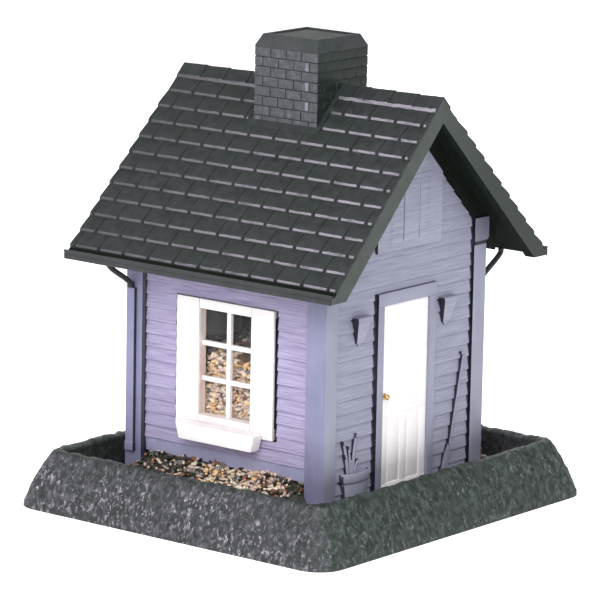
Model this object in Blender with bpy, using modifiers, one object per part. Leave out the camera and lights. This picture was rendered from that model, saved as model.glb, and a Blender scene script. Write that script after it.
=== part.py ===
# Cottage-shaped hopper bird feeder. A tray with a thick stone-look rim carries a clapboard house full of
# seed. The seed runs out under the two window walls. The roof lifts off, and the chimney lifts off the
# roof's fill hole. Metres, +Z up. The origin is the middle of the tray's foot and the ridge runs along X.
# The front faces -Y and the right faces +X. The back and left repeat them, turned half a turn about Z.

import math

import bmesh
import bpy
from mathutils import Matrix, Vector

GAP = 0.0003  # between pieces that touch

# Tray
TRAY_X = 0.248
TRAY_Y = 0.272
TRAY_HEIGHT = 0.035
TRAY_CORNER = 0.018
TRAY_WALL = 0.0026
TRAY_FLOOR = 0.012  # height of the floor's top
RIM_INSET = 0.0185  # from the foot's outline in to the crest
RIM_RADIUS = 0.004  # of the crest
RIM_START = math.radians(45)  # where the outer face meets the crest's round
RIM_LEAN = 0.28  # inward run per rise at the foot
TROUGH_LEAN = 0.003
TROUGH_FILLET = 0.004
DRAIN_RADIUS = 0.002
DRAIN_SPACING = 0.058

# Pole socket and screws
POLE_RADIUS = 0.0143
SOCKET_WALL = 0.0026
SOCKET_TOP = 0.033
FLANGE_RADIUS = 0.035
FLANGE_THICKNESS = 0.003
FLANGE_SCREW_CIRCLE = 0.0265
SCREW_RADIUS = 0.0015
SCREW_HEAD_RADIUS = 0.003
SCREW_HEAD_HEIGHT = 0.002
SCREW_CLEARANCE = 0.0003

# Seed baffle
BAFFLE_REACH = 0.046  # from the middle to each foot
BAFFLE_SHEET = 0.0016

# House
HOUSE_X = 0.158
HOUSE_Y = 0.160
SHEET = 0.0025
BOARD_PROUD = 0.0010  # corner boards stand this far in front of the siding
LAP = 0.0012  # depth of one clapboard's step
LAP_PITCH = 0.00827
POST_ON_EAVE = 0.0150  # width of a corner board on the window wall
POST_ON_GABLE = 0.0108
FOOT_BLOCK = 0.011
FOOT_BLOCK_HEIGHT = 0.014
PILOT_DEPTH = 0.012
FEED_EDGE = 0.038  # lower edge of a window wall
SKIRT_HEIGHT = 0.0063
SKIRT_SET_BACK = 0.0020
EAVE_WALL_GAP = 0.0028  # from a window wall's top up to the roof
TONGUE = 0.007  # how far a window wall reaches behind the posts

# Roof
RIDGE_HEIGHT = 0.2661
ROOF_LENGTH = 0.2104
ROOF_END_DRAFT = 0.0031
ROOF_WIDTH = 0.2194
EAVE_FACE = 0.0038
GUTTER_LIP = 0.0032  # how far the gutter's lip reaches past the slope's foot
ROOF_SHEET = 0.003
RAKE_DEPTH = 0.0146
RAKE_THICKNESS = 0.004
SADDLE_DEPTH = 0.018  # from the roof's outer face down to the gable walls, straight down
SADDLE_THICKNESS = 0.0074
SADDLE_REACH = 0.090
FIN_OFFSET = 0.040
FIN_WIDTH = 0.012
FIN_DROP = 0.012

# Chimney and fill hole
CHIMNEY_SIDE = 0.0488
CHIMNEY_RISE = 0.0296  # above the ridge
CHIMNEY_BEVEL = 0.0075
CHIMNEY_BEVEL_IN = 0.0032
CHIMNEY_WALL = 0.0026
CHIMNEY_RECESS = 0.0012
CURB_WALL = 0.0024
CURB_RISE = 0.006  # above the ridge
CHIMNEY_CLEARANCE = 0.0004

# Window
WINDOW_X = 0.0414
WINDOW_LOW = 0.0652
WINDOW_HIGH = 0.132
HEAD_HEIGHT = 0.006
FRAME_WALL = 0.0019
FRAME_FRONT_SET_BACK = 0.0023
FRAME_DEPTH = 0.0050
BAR_WIDTH = 0.0030
BAR_DEPTH = 0.0031
BAR_SET_BACK = 0.0015
SHUTTER_WIDTH = 0.0176
SHUTTER_LOW = 0.0574
SHUTTER_THICKNESS = 0.002
SLOT = 0.0024  # open slot beside each shutter
PANE_THICKNESS = 0.0012
PANE_LAP = 0.003
BORDER = 0.0043
BOX_TOP_X = 0.0624
BOX_LOW_X = 0.0572
BOX_TOP = 0.0604
BOX_LOW = 0.0503
BOX_DEPTH_TOP = 0.0085
BOX_DEPTH_LOW = 0.0083
BOX_WALL = 0.0012

# Door
DOOR_Y = 0.0458
DOOR_LOW = 0.020
DOOR_HIGH = 0.1382
DOOR_FLANGE = 0.0024
DOOR_FLANGE_SHEET = 0.0012
DOOR_SET_BACK = 0.0014
PANEL_SINK = 0.0007
PANEL_STILE = 0.0062
PANEL_ROWS = ((0.026, 0.069), (0.073, 0.1045), (0.1085, 0.131))
TRIM_WIDTH = 0.0050
TRIM_JOINT = 0.0012
TRIM_HEAD = 0.0063
KNOB_RADIUS = 0.0022
KNOB_EDGE = 0.0030  # from the door's edge to the knob's axis
KNOB_HEIGHT = 0.0815

# Downspout and elbow
SPOUT_INSET = 0.0050  # from the house's corner to the pipe's axis
SPOUT_WIDTH = 0.0063
SPOUT_DEPTH = 0.0022
SPOUT_LOW = 0.0385
SPOUT_DROP = 0.0182  # from the eave down to the pipe's top
SHOE_HEIGHT = 0.0045
SHOE_REACH = 0.0005
ELBOW_RADIUS = 0.0018
ELBOW_INSET = 0.0067  # from the roof's edge to the elbow's top

SHEET_DROP = ROOF_SHEET * math.sqrt(2)  # the roof sheet's thickness, straight down
EAVE_TOP = RIDGE_HEIGHT - ROOF_WIDTH / 2 + GUTTER_LIP
EAVE_BOTTOM = EAVE_TOP - EAVE_FACE
EAVE_WALL_TOP = RIDGE_HEIGHT - SHEET_DROP - HOUSE_Y / 2 - EAVE_WALL_GAP
CHIMNEY_TOP = RIDGE_HEIGHT + CHIMNEY_RISE
SPOUT_X = HOUSE_X / 2 - SPOUT_INSET
SPOUT_TOP = EAVE_BOTTOM - SPOUT_DROP
ELBOW_Y = ROOF_WIDTH / 2 - ELBOW_INSET
HALF_TURN = math.pi

MATERIALS = {
    "charcoal": ((0.065, 0.070, 0.074, 1.0), 0.62, 0.0),
    "lavender": ((0.40, 0.37, 0.55, 1.0), 0.50, 0.0),
    "white": ((0.87, 0.86, 0.86, 1.0), 0.42, 0.0),
    "clear": ((0.80, 0.84, 0.86, 1.0), 0.06, 0.0),
    "brass": ((0.62, 0.44, 0.19, 1.0), 0.32, 1.0),
    "steel": ((0.55, 0.55, 0.56, 1.0), 0.35, 1.0),
    "dark_plastic": ((0.045, 0.048, 0.050, 1.0), 0.55, 0.0),
}


def clear_scene():
    for item in list(bpy.data.objects):
        bpy.data.objects.remove(item, do_unlink=True)


def new_collection(name):
    collection = bpy.data.collections.new(name)
    bpy.context.scene.collection.children.link(collection)
    return collection


def material(name):
    found = bpy.data.materials.get(name)
    if found:
        return found
    colour, roughness, metallic = MATERIALS[name]
    made = bpy.data.materials.new(name)
    made.use_nodes = True
    shader = made.node_tree.nodes["Principled BSDF"]
    shader.inputs["Base Color"].default_value = colour
    shader.inputs["Roughness"].default_value = roughness
    shader.inputs["Metallic"].default_value = metallic
    made.diffuse_color = colour
    return made


clear_scene()
FEEDER = new_collection("cottage_bird_feeder")
CUTTERS = new_collection("cutters")


def add_part(name, mesh, finish, turn=0.0):
    part = bpy.data.objects.new(name, mesh)
    mesh.materials.clear()
    mesh.materials.append(material(finish))
    part.rotation_euler.z = turn
    FEEDER.objects.link(part)
    return part


def add_tool(name, mesh, turn=0.0):
    tool = bpy.data.objects.new(name, mesh)
    tool.rotation_euler.z = turn
    tool.hide_render = True
    tool.display_type = "WIRE"
    CUTTERS.objects.link(tool)
    return tool


def mesh_from(build, name):
    shape = bmesh.new()
    build(shape)
    mesh = bpy.data.meshes.new(name)
    shape.to_mesh(mesh)
    shape.free()
    return mesh


def add_box(shape, low, high):
    """A box between two corners, added to a bmesh."""
    low = Vector(low)
    high = Vector(high)
    size = high - low
    place = Matrix.Translation((low + high) / 2) @ Matrix.Diagonal((*size, 1.0))
    return bmesh.ops.create_cube(shape, size=1.0, matrix=place)["verts"]


def box_mesh(name, low, high):
    return mesh_from(lambda shape: add_box(shape, low, high), name)


def add_cylinder(shape, x, y, low, high, radius, sides=12):
    place = Matrix.Translation((x, y, (low + high) / 2))
    bmesh.ops.create_cone(
        shape, cap_ends=True, segments=sides, radius1=radius, radius2=radius, depth=high - low, matrix=place
    )


def plate_mesh(name, outline, low, high, axis):
    """A flat outline with thickness. The outline is (y, z) for axis X, (x, z) for axis Y, (x, y) for Z."""
    curve = bpy.data.curves.new(name, "CURVE")
    curve.dimensions = "2D"
    curve.fill_mode = "BOTH"
    curve.extrude = (high - low) / 2
    spline = curve.splines.new("POLY")
    spline.points.add(len(outline) - 1)
    for point, (u, v) in zip(spline.points, outline):
        point.co = (u, v, 0.0, 1.0)
    spline.use_cyclic_u = True
    holder = bpy.data.objects.new(name, curve)
    bpy.context.scene.collection.objects.link(holder)
    mesh = bpy.data.meshes.new_from_object(holder.evaluated_get(bpy.context.evaluated_depsgraph_get()))
    bpy.data.objects.remove(holder, do_unlink=True)
    middle = (low + high) / 2
    frames = {
        "X": Matrix(((0, 0, 1, middle), (1, 0, 0, 0), (0, 1, 0, 0), (0, 0, 0, 1))),
        "Y": Matrix(((1, 0, 0, 0), (0, 0, -1, middle), (0, 1, 0, 0), (0, 0, 0, 1))),
        "Z": Matrix.Translation((0, 0, middle)),
    }
    shape = bmesh.new()
    shape.from_mesh(mesh)
    bmesh.ops.remove_doubles(shape, verts=shape.verts, dist=1e-6)
    bmesh.ops.transform(shape, matrix=frames[axis], verts=shape.verts)
    bmesh.ops.recalc_face_normals(shape, faces=shape.faces)
    shape.to_mesh(mesh)
    shape.free()
    return mesh


def boolean(part, tool, operation):
    step = part.modifiers.new(tool.name, "BOOLEAN")
    step.operation = operation
    step.object = tool
    step.solver = "EXACT"


def cut(part, tool):
    boolean(part, tool, "DIFFERENCE")


def join(part, tool):
    boolean(part, tool, "UNION")


def turned(name, profile, steps, finish=None, turn=0.0):
    """A profile of (radius, height) points, top to bottom down the outer side, turned about Z."""
    mesh = bpy.data.meshes.new(name)
    points = [(radius, 0.0, height) for radius, height in profile]
    edges = [(i, i + 1) for i in range(len(points) - 1)]
    mesh.from_pydata(points, edges, [])
    part = add_part(name, mesh, finish, turn)
    screw = part.modifiers.new("Turn", "SCREW")
    screw.steps = steps
    screw.render_steps = steps
    screw.use_merge_vertices = True
    screw.merge_threshold = 0.00001
    return part


# ---------------------------------------------------------------- tray


def rounded_rectangle(half_x, half_y, radius, steps=4):
    points = []
    for side_x, side_y, start in ((1, 1, 0), (-1, 1, 90), (-1, -1, 180), (1, -1, 270)):
        for step in range(steps + 1):
            angle = math.radians(start + 90 * step / steps)
            x = side_x * (half_x - radius) + radius * math.cos(angle)
            y = side_y * (half_y - radius) + radius * math.sin(angle)
            points.append((x, y))
    return points


def rim_profile():
    """(inset, height) from the foot up the outer face, over the crest and down into the trough."""
    crest_z = TRAY_HEIGHT - RIM_RADIUS
    meet_in = RIM_INSET - RIM_RADIUS * math.cos(RIM_START)
    meet_z = crest_z + RIM_RADIUS * math.sin(RIM_START)
    bend = (meet_in - RIM_LEAN * meet_z) / meet_z**2
    face_steps = 5
    points = []
    for step in range(face_steps):
        z = meet_z * step / face_steps
        points.append((RIM_LEAN * z + bend * z * z, z))
    crest_steps = 4
    for step in range(crest_steps + 1):
        angle = RIM_START + (math.pi - RIM_START) * step / crest_steps
        points.append((RIM_INSET - RIM_RADIUS * math.cos(angle), crest_z + RIM_RADIUS * math.sin(angle)))
    inner = RIM_INSET + RIM_RADIUS
    points.append((inner + TROUGH_LEAN, TRAY_FLOOR + TROUGH_FILLET))
    points.append((inner + TROUGH_LEAN + 0.3 * TROUGH_FILLET, TRAY_FLOOR + 0.3 * TROUGH_FILLET))
    points.append((inner + TROUGH_LEAN + TROUGH_FILLET, TRAY_FLOOR))
    return points


def build_tray():
    shape = bmesh.new()
    rings = []
    for inset, z in rim_profile():
        radius = max(TRAY_CORNER - 0.7 * inset, 0.005)
        outline = rounded_rectangle(TRAY_X / 2 - inset, TRAY_Y / 2 - inset, radius)
        rings.append([shape.verts.new((x, y, z)) for x, y in outline])
    for lower, upper in zip(rings, rings[1:]):
        count = len(lower)
        for i in range(count):
            j = (i + 1) % count
            shape.faces.new((lower[i], lower[j], upper[j], upper[i]))
    shape.faces.new(rings[-1])
    mesh = bpy.data.meshes.new("base_tray")
    shape.to_mesh(mesh)
    shape.free()
    tray = add_part("base_tray", mesh, "charcoal")
    shell = tray.modifiers.new("Shell", "SOLIDIFY")
    shell.thickness = TRAY_WALL
    shell.offset = -1.0
    shell.use_even_offset = True

    ground = box_mesh("tray_foot", (-TRAY_X, -TRAY_Y, -2 * TRAY_WALL), (TRAY_X, TRAY_Y, 0.0))
    cut(tray, add_tool("tray_foot", ground))
    under = TRAY_FLOOR - 3 * TRAY_WALL
    over = TRAY_FLOOR + TRAY_WALL

    def holes(tool):
        socket_outer = POLE_RADIUS + SOCKET_WALL + GAP
        add_cylinder(tool, 0.0, 0.0, under, over, socket_outer, 24)
        for x, y in flange_screw_places() + post_screw_places():
            add_cylinder(tool, x, y, under, over, SCREW_RADIUS + SCREW_CLEARANCE, 10)
        for x, y in drain_places():
            add_cylinder(tool, x, y, under, over, DRAIN_RADIUS, 8)

    cut(tray, add_tool("tray_holes", mesh_from(holes, "tray_holes")))


def flange_screw_places():
    places = []
    for k in range(4):
        angle = math.radians(45 + 90 * k)
        places.append((FLANGE_SCREW_CIRCLE * math.cos(angle), FLANGE_SCREW_CIRCLE * math.sin(angle)))
    return places


def post_screw_places():
    x = HOUSE_X / 2 - SHEET - FOOT_BLOCK / 2
    y = HOUSE_Y / 2 - SHEET - FOOT_BLOCK / 2
    return [(x, -y), (x, y), (-x, y), (-x, -y)]


def drain_places():
    y = (HOUSE_Y / 2 + TRAY_Y / 2 - RIM_INSET - RIM_RADIUS) / 2
    return [(k * DRAIN_SPACING, side * y) for side in (-1, 1) for k in (-1, 0, 1)]


def build_screw(name, x, y, head_low, length):
    """A pan-head screw pointing up, its head's underside at head_low plus the head's height."""
    shoulder = head_low + SCREW_HEAD_HEIGHT
    tip = shoulder + length
    profile = [
        (0.0, tip),
        (0.6 * SCREW_RADIUS, tip),
        (SCREW_RADIUS, tip - SCREW_RADIUS),
        (SCREW_RADIUS, shoulder),
        (SCREW_HEAD_RADIUS, shoulder),
        (SCREW_HEAD_RADIUS, head_low + 0.4 * SCREW_HEAD_HEIGHT),
        (0.7 * SCREW_HEAD_RADIUS, head_low),
        (0.0, head_low),
    ]
    screw = turned(name, profile, 10, "steel")
    screw.location = (x, y, 0.0)


def build_pole_socket():
    floor_under = TRAY_FLOOR - TRAY_WALL
    flange_top = floor_under - GAP
    flange_low = flange_top - FLANGE_THICKNESS
    tube = POLE_RADIUS + SOCKET_WALL
    profile = [
        (0.0, SOCKET_TOP),
        (tube, SOCKET_TOP),
        (tube, flange_top),
        (FLANGE_RADIUS, flange_top),
        (FLANGE_RADIUS, flange_low),
        (POLE_RADIUS, flange_low),
        (POLE_RADIUS, SOCKET_TOP - SOCKET_WALL),
        (0.0, SOCKET_TOP - SOCKET_WALL),
    ]
    socket = turned("pole_socket", profile, 24, "dark_plastic")

    def holes(tool):
        for x, y in flange_screw_places():
            radius = SCREW_RADIUS + SCREW_CLEARANCE
            add_cylinder(tool, x, y, flange_low - SHEET, flange_top + SHEET, radius, 10)

    cut(socket, add_tool("socket_holes", mesh_from(holes, "socket_holes")))
    head_low = flange_low - GAP - SCREW_HEAD_HEIGHT
    for number, (x, y) in enumerate(flange_screw_places(), 1):
        length = TRAY_FLOOR - GAP - (head_low + SCREW_HEAD_HEIGHT)
        build_screw("socket_screw_%d" % number, x, y, head_low, length)
    head_low = floor_under - GAP - SCREW_HEAD_HEIGHT
    for number, (x, y) in enumerate(post_screw_places(), 1):
        length = TRAY_FLOOR + PILOT_DEPTH - 2 * GAP - (head_low + SCREW_HEAD_HEIGHT)
        build_screw("post_screw_%d" % number, x, y, head_low, length)


def build_baffle():
    foot = TRAY_FLOOR + GAP
    reach = BAFFLE_REACH
    thick = BAFFLE_SHEET * math.sqrt(2)
    outline = [
        (-reach, foot),
        (-reach + thick, foot),
        (0.0, foot + reach - thick),
        (reach - thick, foot),
        (reach, foot),
        (0.0, foot + reach),
    ]
    half = HOUSE_X / 2 - BOARD_PROUD - LAP - SHEET - GAP - DOOR_FLANGE_SHEET - GAP
    add_part("seed_baffle", plate_mesh("seed_baffle", outline, -half, half, "X"), "dark_plastic")


# ---------------------------------------------------------------- walls


def siding_steps(outer, low, high):
    """(depth, height) points up a stack of clapboards. One board's lower edge is at the feed skirt's top."""
    first = FEED_EDGE + SKIRT_HEIGHT
    row = math.floor((low - first) / LAP_PITCH)
    points = []
    z = low
    while z < high:
        start = first + row * LAP_PITCH
        end = min(start + LAP_PITCH, high)
        depth_low = outer - LAP * (z - start) / LAP_PITCH
        depth_high = outer - LAP * (end - start) / LAP_PITCH
        points.append((depth_low, z))
        points.append((depth_high, end))
        z = end
        row += 1
    return points


def gable_line():
    """Height of the gable walls' top edge at the middle; it falls one for one with y."""
    return RIDGE_HEIGHT - SADDLE_DEPTH - GAP


def build_gable_wall(name, turn):
    outer = HOUSE_X / 2
    face = outer - BOARD_PROUD
    inner = face - LAP - SHEET
    side = HOUSE_Y / 2
    foot = TRAY_FLOOR + GAP
    apex = gable_line()
    profile = [(inner, foot), *siding_steps(face, foot, apex + LAP), (inner, apex + LAP)]
    wall = add_part(name, plate_mesh(name, profile, -side + LAP, side - LAP, "Y"), "lavender", turn)
    gable = [
        (-side, foot - SHEET),
        (side, foot - SHEET),
        (side, apex - side),
        (0.0, apex),
        (-side, apex - side),
    ]
    shape = plate_mesh(name + "_outline", gable, inner - SHEET, outer + SHEET, "X")
    boolean(wall, add_tool(name + "_outline", shape, turn), "INTERSECT")

    post_x = outer - POST_ON_EAVE
    post_y = side - POST_ON_GABLE
    for end in (-1, 1):
        corner = [
            (inner, end * post_y),
            (outer, end * post_y),
            (outer, end * side),
            (post_x, end * side),
            (post_x, end * (side - SHEET)),
            (inner, end * (side - SHEET)),
        ]
        tag = "low" if end < 0 else "high"
        tool = plate_mesh(name + "_post_" + tag, corner, foot, apex - side, "Z")
        join(wall, add_tool(name + "_post_" + tag, tool, turn))

    block_x = outer - SHEET - FOOT_BLOCK
    block_y = side - SHEET - FOOT_BLOCK

    def blocks(tool):
        for end in (-1, 1):
            near, far = sorted((end * block_y, end * (side - 0.4 * SHEET)))
            add_box(tool, (block_x, near, foot), (inner + 0.4 * SHEET, far, foot + FOOT_BLOCK_HEIGHT))

    join(wall, add_tool(name + "_blocks", mesh_from(blocks, name + "_blocks"), turn))

    trim_in = DOOR_Y / 2 + TRIM_JOINT
    trim_out = trim_in + TRIM_WIDTH
    trim_top = DOOR_HIGH + TRIM_JOINT + TRIM_HEAD
    trim_face = outer - 0.2 * BOARD_PROUD
    trim = [
        (-trim_out, foot),
        (-trim_in, foot),
        (-trim_in, DOOR_HIGH + TRIM_JOINT),
        (trim_in, DOOR_HIGH + TRIM_JOINT),
        (trim_in, foot),
        (trim_out, foot),
        (trim_out, trim_top),
        (-trim_out, trim_top),
    ]
    tool = plate_mesh(name + "_trim", trim, inner + 0.4 * SHEET, trim_face, "X")
    join(wall, add_tool(name + "_trim", tool, turn))

    hole = DOOR_Y / 2 + GAP
    low = (inner - SHEET, -hole, DOOR_LOW - GAP)
    high = (outer + SHEET, hole, DOOR_HIGH + GAP)
    cut(wall, add_tool(name + "_doorway", box_mesh(name + "_doorway", low, high), turn))

    def pilots(tool):
        for x, y in post_screw_places():
            if x > 0:
                add_cylinder(tool, x, y, foot - SHEET, foot + PILOT_DEPTH, SCREW_RADIUS + SCREW_CLEARANCE, 10)

    cut(wall, add_tool(name + "_pilots", mesh_from(pilots, name + "_pilots"), turn))


def build_door(side_name, turn):
    name = "door_" + side_name
    face = HOUSE_X / 2 - DOOR_SET_BACK
    wall_inner = HOUSE_X / 2 - BOARD_PROUD - LAP - SHEET
    flange_back = wall_inner - GAP - DOOR_FLANGE_SHEET
    half = DOOR_Y / 2
    low = (flange_back + 0.5 * DOOR_FLANGE_SHEET, -half, DOOR_LOW)
    high = (face, half, DOOR_HIGH)
    door = add_part(name, box_mesh(name, low, high), "white", turn)
    reach = half + DOOR_FLANGE
    flange = box_mesh(
        name + "_flange",
        (flange_back, -reach, DOOR_LOW - DOOR_FLANGE),
        (wall_inner - GAP, reach, DOOR_HIGH + DOOR_FLANGE),
    )
    join(door, add_tool(name + "_flange", flange, turn))

    def panels(tool):
        for end in (-1, 1):
            near, far = sorted((end * 0.45 * PANEL_STILE, end * (half - PANEL_STILE)))
            for row_low, row_high in PANEL_ROWS:
                add_box(tool, (face - PANEL_SINK, near, row_low), (face + SHEET, far, row_high))

    cut(door, add_tool(name + "_panels", mesh_from(panels, name + "_panels"), turn))

    profile = [
        (0.0, 2.2 * KNOB_RADIUS),
        (0.6 * KNOB_RADIUS, 2.05 * KNOB_RADIUS),
        (KNOB_RADIUS, 1.4 * KNOB_RADIUS),
        (0.8 * KNOB_RADIUS, 0.8 * KNOB_RADIUS),
        (0.4 * KNOB_RADIUS, 0.5 * KNOB_RADIUS),
        (0.4 * KNOB_RADIUS, 0.2 * KNOB_RADIUS),
        (0.7 * KNOB_RADIUS, 0.0),
        (0.0, 0.0),
    ]
    knob = turned("door_knob_" + side_name, profile, 12, "brass")
    place = Matrix.Translation((face + GAP, -half + KNOB_EDGE, KNOB_HEIGHT))
    knob.matrix_world = Matrix.Rotation(turn, 4, "Z") @ place @ Matrix.Rotation(math.pi / 2, 4, "Y")


def build_eave_wall(side_name, turn):
    name = "eave_wall_" + side_name
    face = HOUSE_Y / 2 - BOARD_PROUD
    inner = face - LAP - SHEET
    top_of_skirt = FEED_EDGE + SKIRT_HEIGHT
    profile = [
        (-inner, FEED_EDGE),
        (-inner, EAVE_WALL_TOP),
        *[(-depth, z) for depth, z in reversed(siding_steps(face, top_of_skirt, EAVE_WALL_TOP))],
        (-face + SKIRT_SET_BACK, top_of_skirt),
        (-face + 1.5 * SKIRT_SET_BACK, FEED_EDGE),
    ]
    half = HOUSE_X / 2 - POST_ON_EAVE - GAP
    wall = add_part(name, plate_mesh(name, profile, -half, half, "X"), "lavender", turn)

    tongue_face = HOUSE_Y / 2 - SHEET - GAP
    reach = half + TONGUE
    tongue = box_mesh(
        name + "_tongue",
        (-reach, -tongue_face, top_of_skirt),
        (reach, -inner + 0.0003, EAVE_WALL_TOP - LAP),
    )
    join(wall, add_tool(name + "_tongue", tongue, turn))

    hole_x = WINDOW_X / 2 + SHUTTER_WIDTH + SLOT
    hole_low = SHUTTER_LOW - GAP
    hole_high = WINDOW_HIGH + HEAD_HEIGHT + GAP
    border = box_mesh(
        name + "_border",
        (-hole_x - BORDER, -inner - 0.4 * SHEET, hole_low - BORDER),
        (hole_x + BORDER, -pane_front() - GAP, hole_high + BORDER),
    )
    join(wall, add_tool(name + "_border", border, turn))
    opening = box_mesh(name + "_opening", (-hole_x, -HOUSE_Y / 2, hole_low), (hole_x, 0.0, hole_high))
    cut(wall, add_tool(name + "_opening", opening, turn))


def frame_front():
    return HOUSE_Y / 2 - FRAME_FRONT_SET_BACK


def pane_front():
    return frame_front() - FRAME_DEPTH - GAP


def build_window(side_name, turn):
    name = "window_frame_" + side_name
    front = frame_front()
    back = front - FRAME_DEPTH
    half = WINDOW_X / 2
    face = HOUSE_Y / 2
    frame = add_part(
        name,
        box_mesh(
            name,
            (-half - FRAME_WALL, -front, WINDOW_LOW - FRAME_WALL),
            (half + FRAME_WALL, -back, WINDOW_HIGH + FRAME_WALL),
        ),
        "white",
        turn,
    )
    carrier = half + SHUTTER_WIDTH + SLOT - GAP
    lap = 0.0002
    carrier_back = -back - 0.4 * FRAME_DEPTH

    def boards(tool):
        add_box(tool, (-half + lap, -face, WINDOW_HIGH), (half - lap, -front + lap, WINDOW_HIGH + HEAD_HEIGHT))
        add_box(tool, (-half + lap, -face, SHUTTER_LOW + 2 * FRAME_WALL), (half - lap, -front + lap, WINDOW_LOW))

    def carriers(tool):
        low_bar = (SHUTTER_LOW + lap, WINDOW_LOW - 0.5 * FRAME_WALL)
        high_bar = (WINDOW_HIGH + 0.5 * FRAME_WALL, WINDOW_HIGH + HEAD_HEIGHT - lap)
        for low, high in (low_bar, high_bar):
            add_box(tool, (-carrier, -front + 0.5 * lap, low), (carrier, carrier_back, high))

    join(frame, add_tool(name + "_boards", mesh_from(boards, name + "_boards"), turn))
    join(frame, add_tool(name + "_carriers", mesh_from(carriers, name + "_carriers"), turn))
    opening = box_mesh(name + "_light", (-half, -face - SHEET, WINDOW_LOW), (half, 0.0, WINDOW_HIGH))
    cut(frame, add_tool(name + "_light", opening, turn))

    bar_front = -front + BAR_SET_BACK
    bar_back = bar_front + BAR_DEPTH
    third = (WINDOW_HIGH - WINDOW_LOW) / 3
    width = BAR_WIDTH / 2

    upright = box_mesh(
        name + "_upright",
        (-width, bar_front, WINDOW_LOW - 0.5 * FRAME_WALL),
        (width, bar_back, WINDOW_HIGH + 0.5 * FRAME_WALL),
    )
    join(frame, add_tool(name + "_upright", upright, turn))

    def level_bars(tool):
        for k in (1, 2):
            z = WINDOW_LOW + k * third
            low = (-half - 0.5 * FRAME_WALL, bar_front + lap, z - width)
            high = (half + 0.5 * FRAME_WALL, bar_back - lap, z + width)
            add_box(tool, low, high)

    join(frame, add_tool(name + "_bars", mesh_from(level_bars, name + "_bars"), turn))

    pane_x = half + SHUTTER_WIDTH + SLOT + PANE_LAP
    low = (-pane_x, -pane_front(), SHUTTER_LOW - PANE_LAP)
    high = (pane_x, -pane_front() + PANE_THICKNESS, WINDOW_HIGH + HEAD_HEIGHT + PANE_LAP)
    pane_name = "window_pane_" + side_name
    add_part(pane_name, box_mesh(pane_name, low, high), "clear", turn)

    for hand, sign in (("left", -1), ("right", 1)):
        shutter = "shutter_%s_%s" % (side_name, hand)
        near, far = sorted((sign * half, sign * (half + SHUTTER_WIDTH)))
        low = (near, -face, SHUTTER_LOW)
        high = (far, -face + SHUTTER_THICKNESS, WINDOW_HIGH + HEAD_HEIGHT)
        add_part(shutter, box_mesh(shutter, low, high), "white", turn)

    def planter(shape, shrink, raise_low, raise_top):
        back_y = -face - GAP - shrink
        verts = add_box(shape, (-0.5, back_y - 1.0, BOX_LOW + raise_low), (0.5, back_y, BOX_TOP + raise_top))
        middle = (BOX_LOW + BOX_TOP) / 2
        for vert in verts:
            at_top = vert.co.z > middle
            vert.co.x *= (BOX_TOP_X if at_top else BOX_LOW_X) - 2 * shrink
            if vert.co.y < back_y - 0.5:
                vert.co.y = back_y + 2 * shrink - (BOX_DEPTH_TOP if at_top else BOX_DEPTH_LOW)

    box_name = "window_box_" + side_name
    planter_mesh = mesh_from(lambda shape: planter(shape, 0.0, 0.0, 0.0), box_name)
    planter_part = add_part(box_name, planter_mesh, "white", turn)
    soil_name = box_name + "_soil"
    soil_mesh = mesh_from(lambda shape: planter(shape, BOX_WALL, BOX_WALL, 0.001), soil_name)
    cut(planter_part, add_tool(soil_name, soil_mesh, turn))


def build_downspout(side_name, turn):
    name = "downspout_" + side_name
    back = -HOUSE_Y / 2 - GAP
    half = SPOUT_WIDTH / 2
    low = (-SPOUT_X - half, back - SPOUT_DEPTH, SPOUT_LOW)
    high = (-SPOUT_X + half, back, SPOUT_TOP)
    pipe = add_part(name, box_mesh(name, low, high), "lavender", turn)
    shoe = box_mesh(
        name + "_shoe",
        (-SPOUT_X - half - 0.0003, back - SPOUT_DEPTH - SHOE_REACH, SPOUT_LOW - SHOE_HEIGHT),
        (-SPOUT_X + half + 0.0003, back - 0.0002, SPOUT_LOW + 0.5 * SHOE_HEIGHT),
    )
    join(pipe, add_tool(name + "_shoe", shoe, turn))


# ---------------------------------------------------------------- roof


def roof_slope(y, drop=0.0):
    return RIDGE_HEIGHT - drop - abs(y)


def chevron(drop_top, drop_low, reach):
    """A bent band that follows both slopes, between two depths measured straight down."""
    return [
        (-reach, roof_slope(reach, drop_low)),
        (0.0, roof_slope(0.0, drop_low)),
        (reach, roof_slope(reach, drop_low)),
        (reach, roof_slope(reach, drop_top)),
        (0.0, roof_slope(0.0, drop_top)),
        (-reach, roof_slope(reach, drop_top)),
    ]


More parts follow.
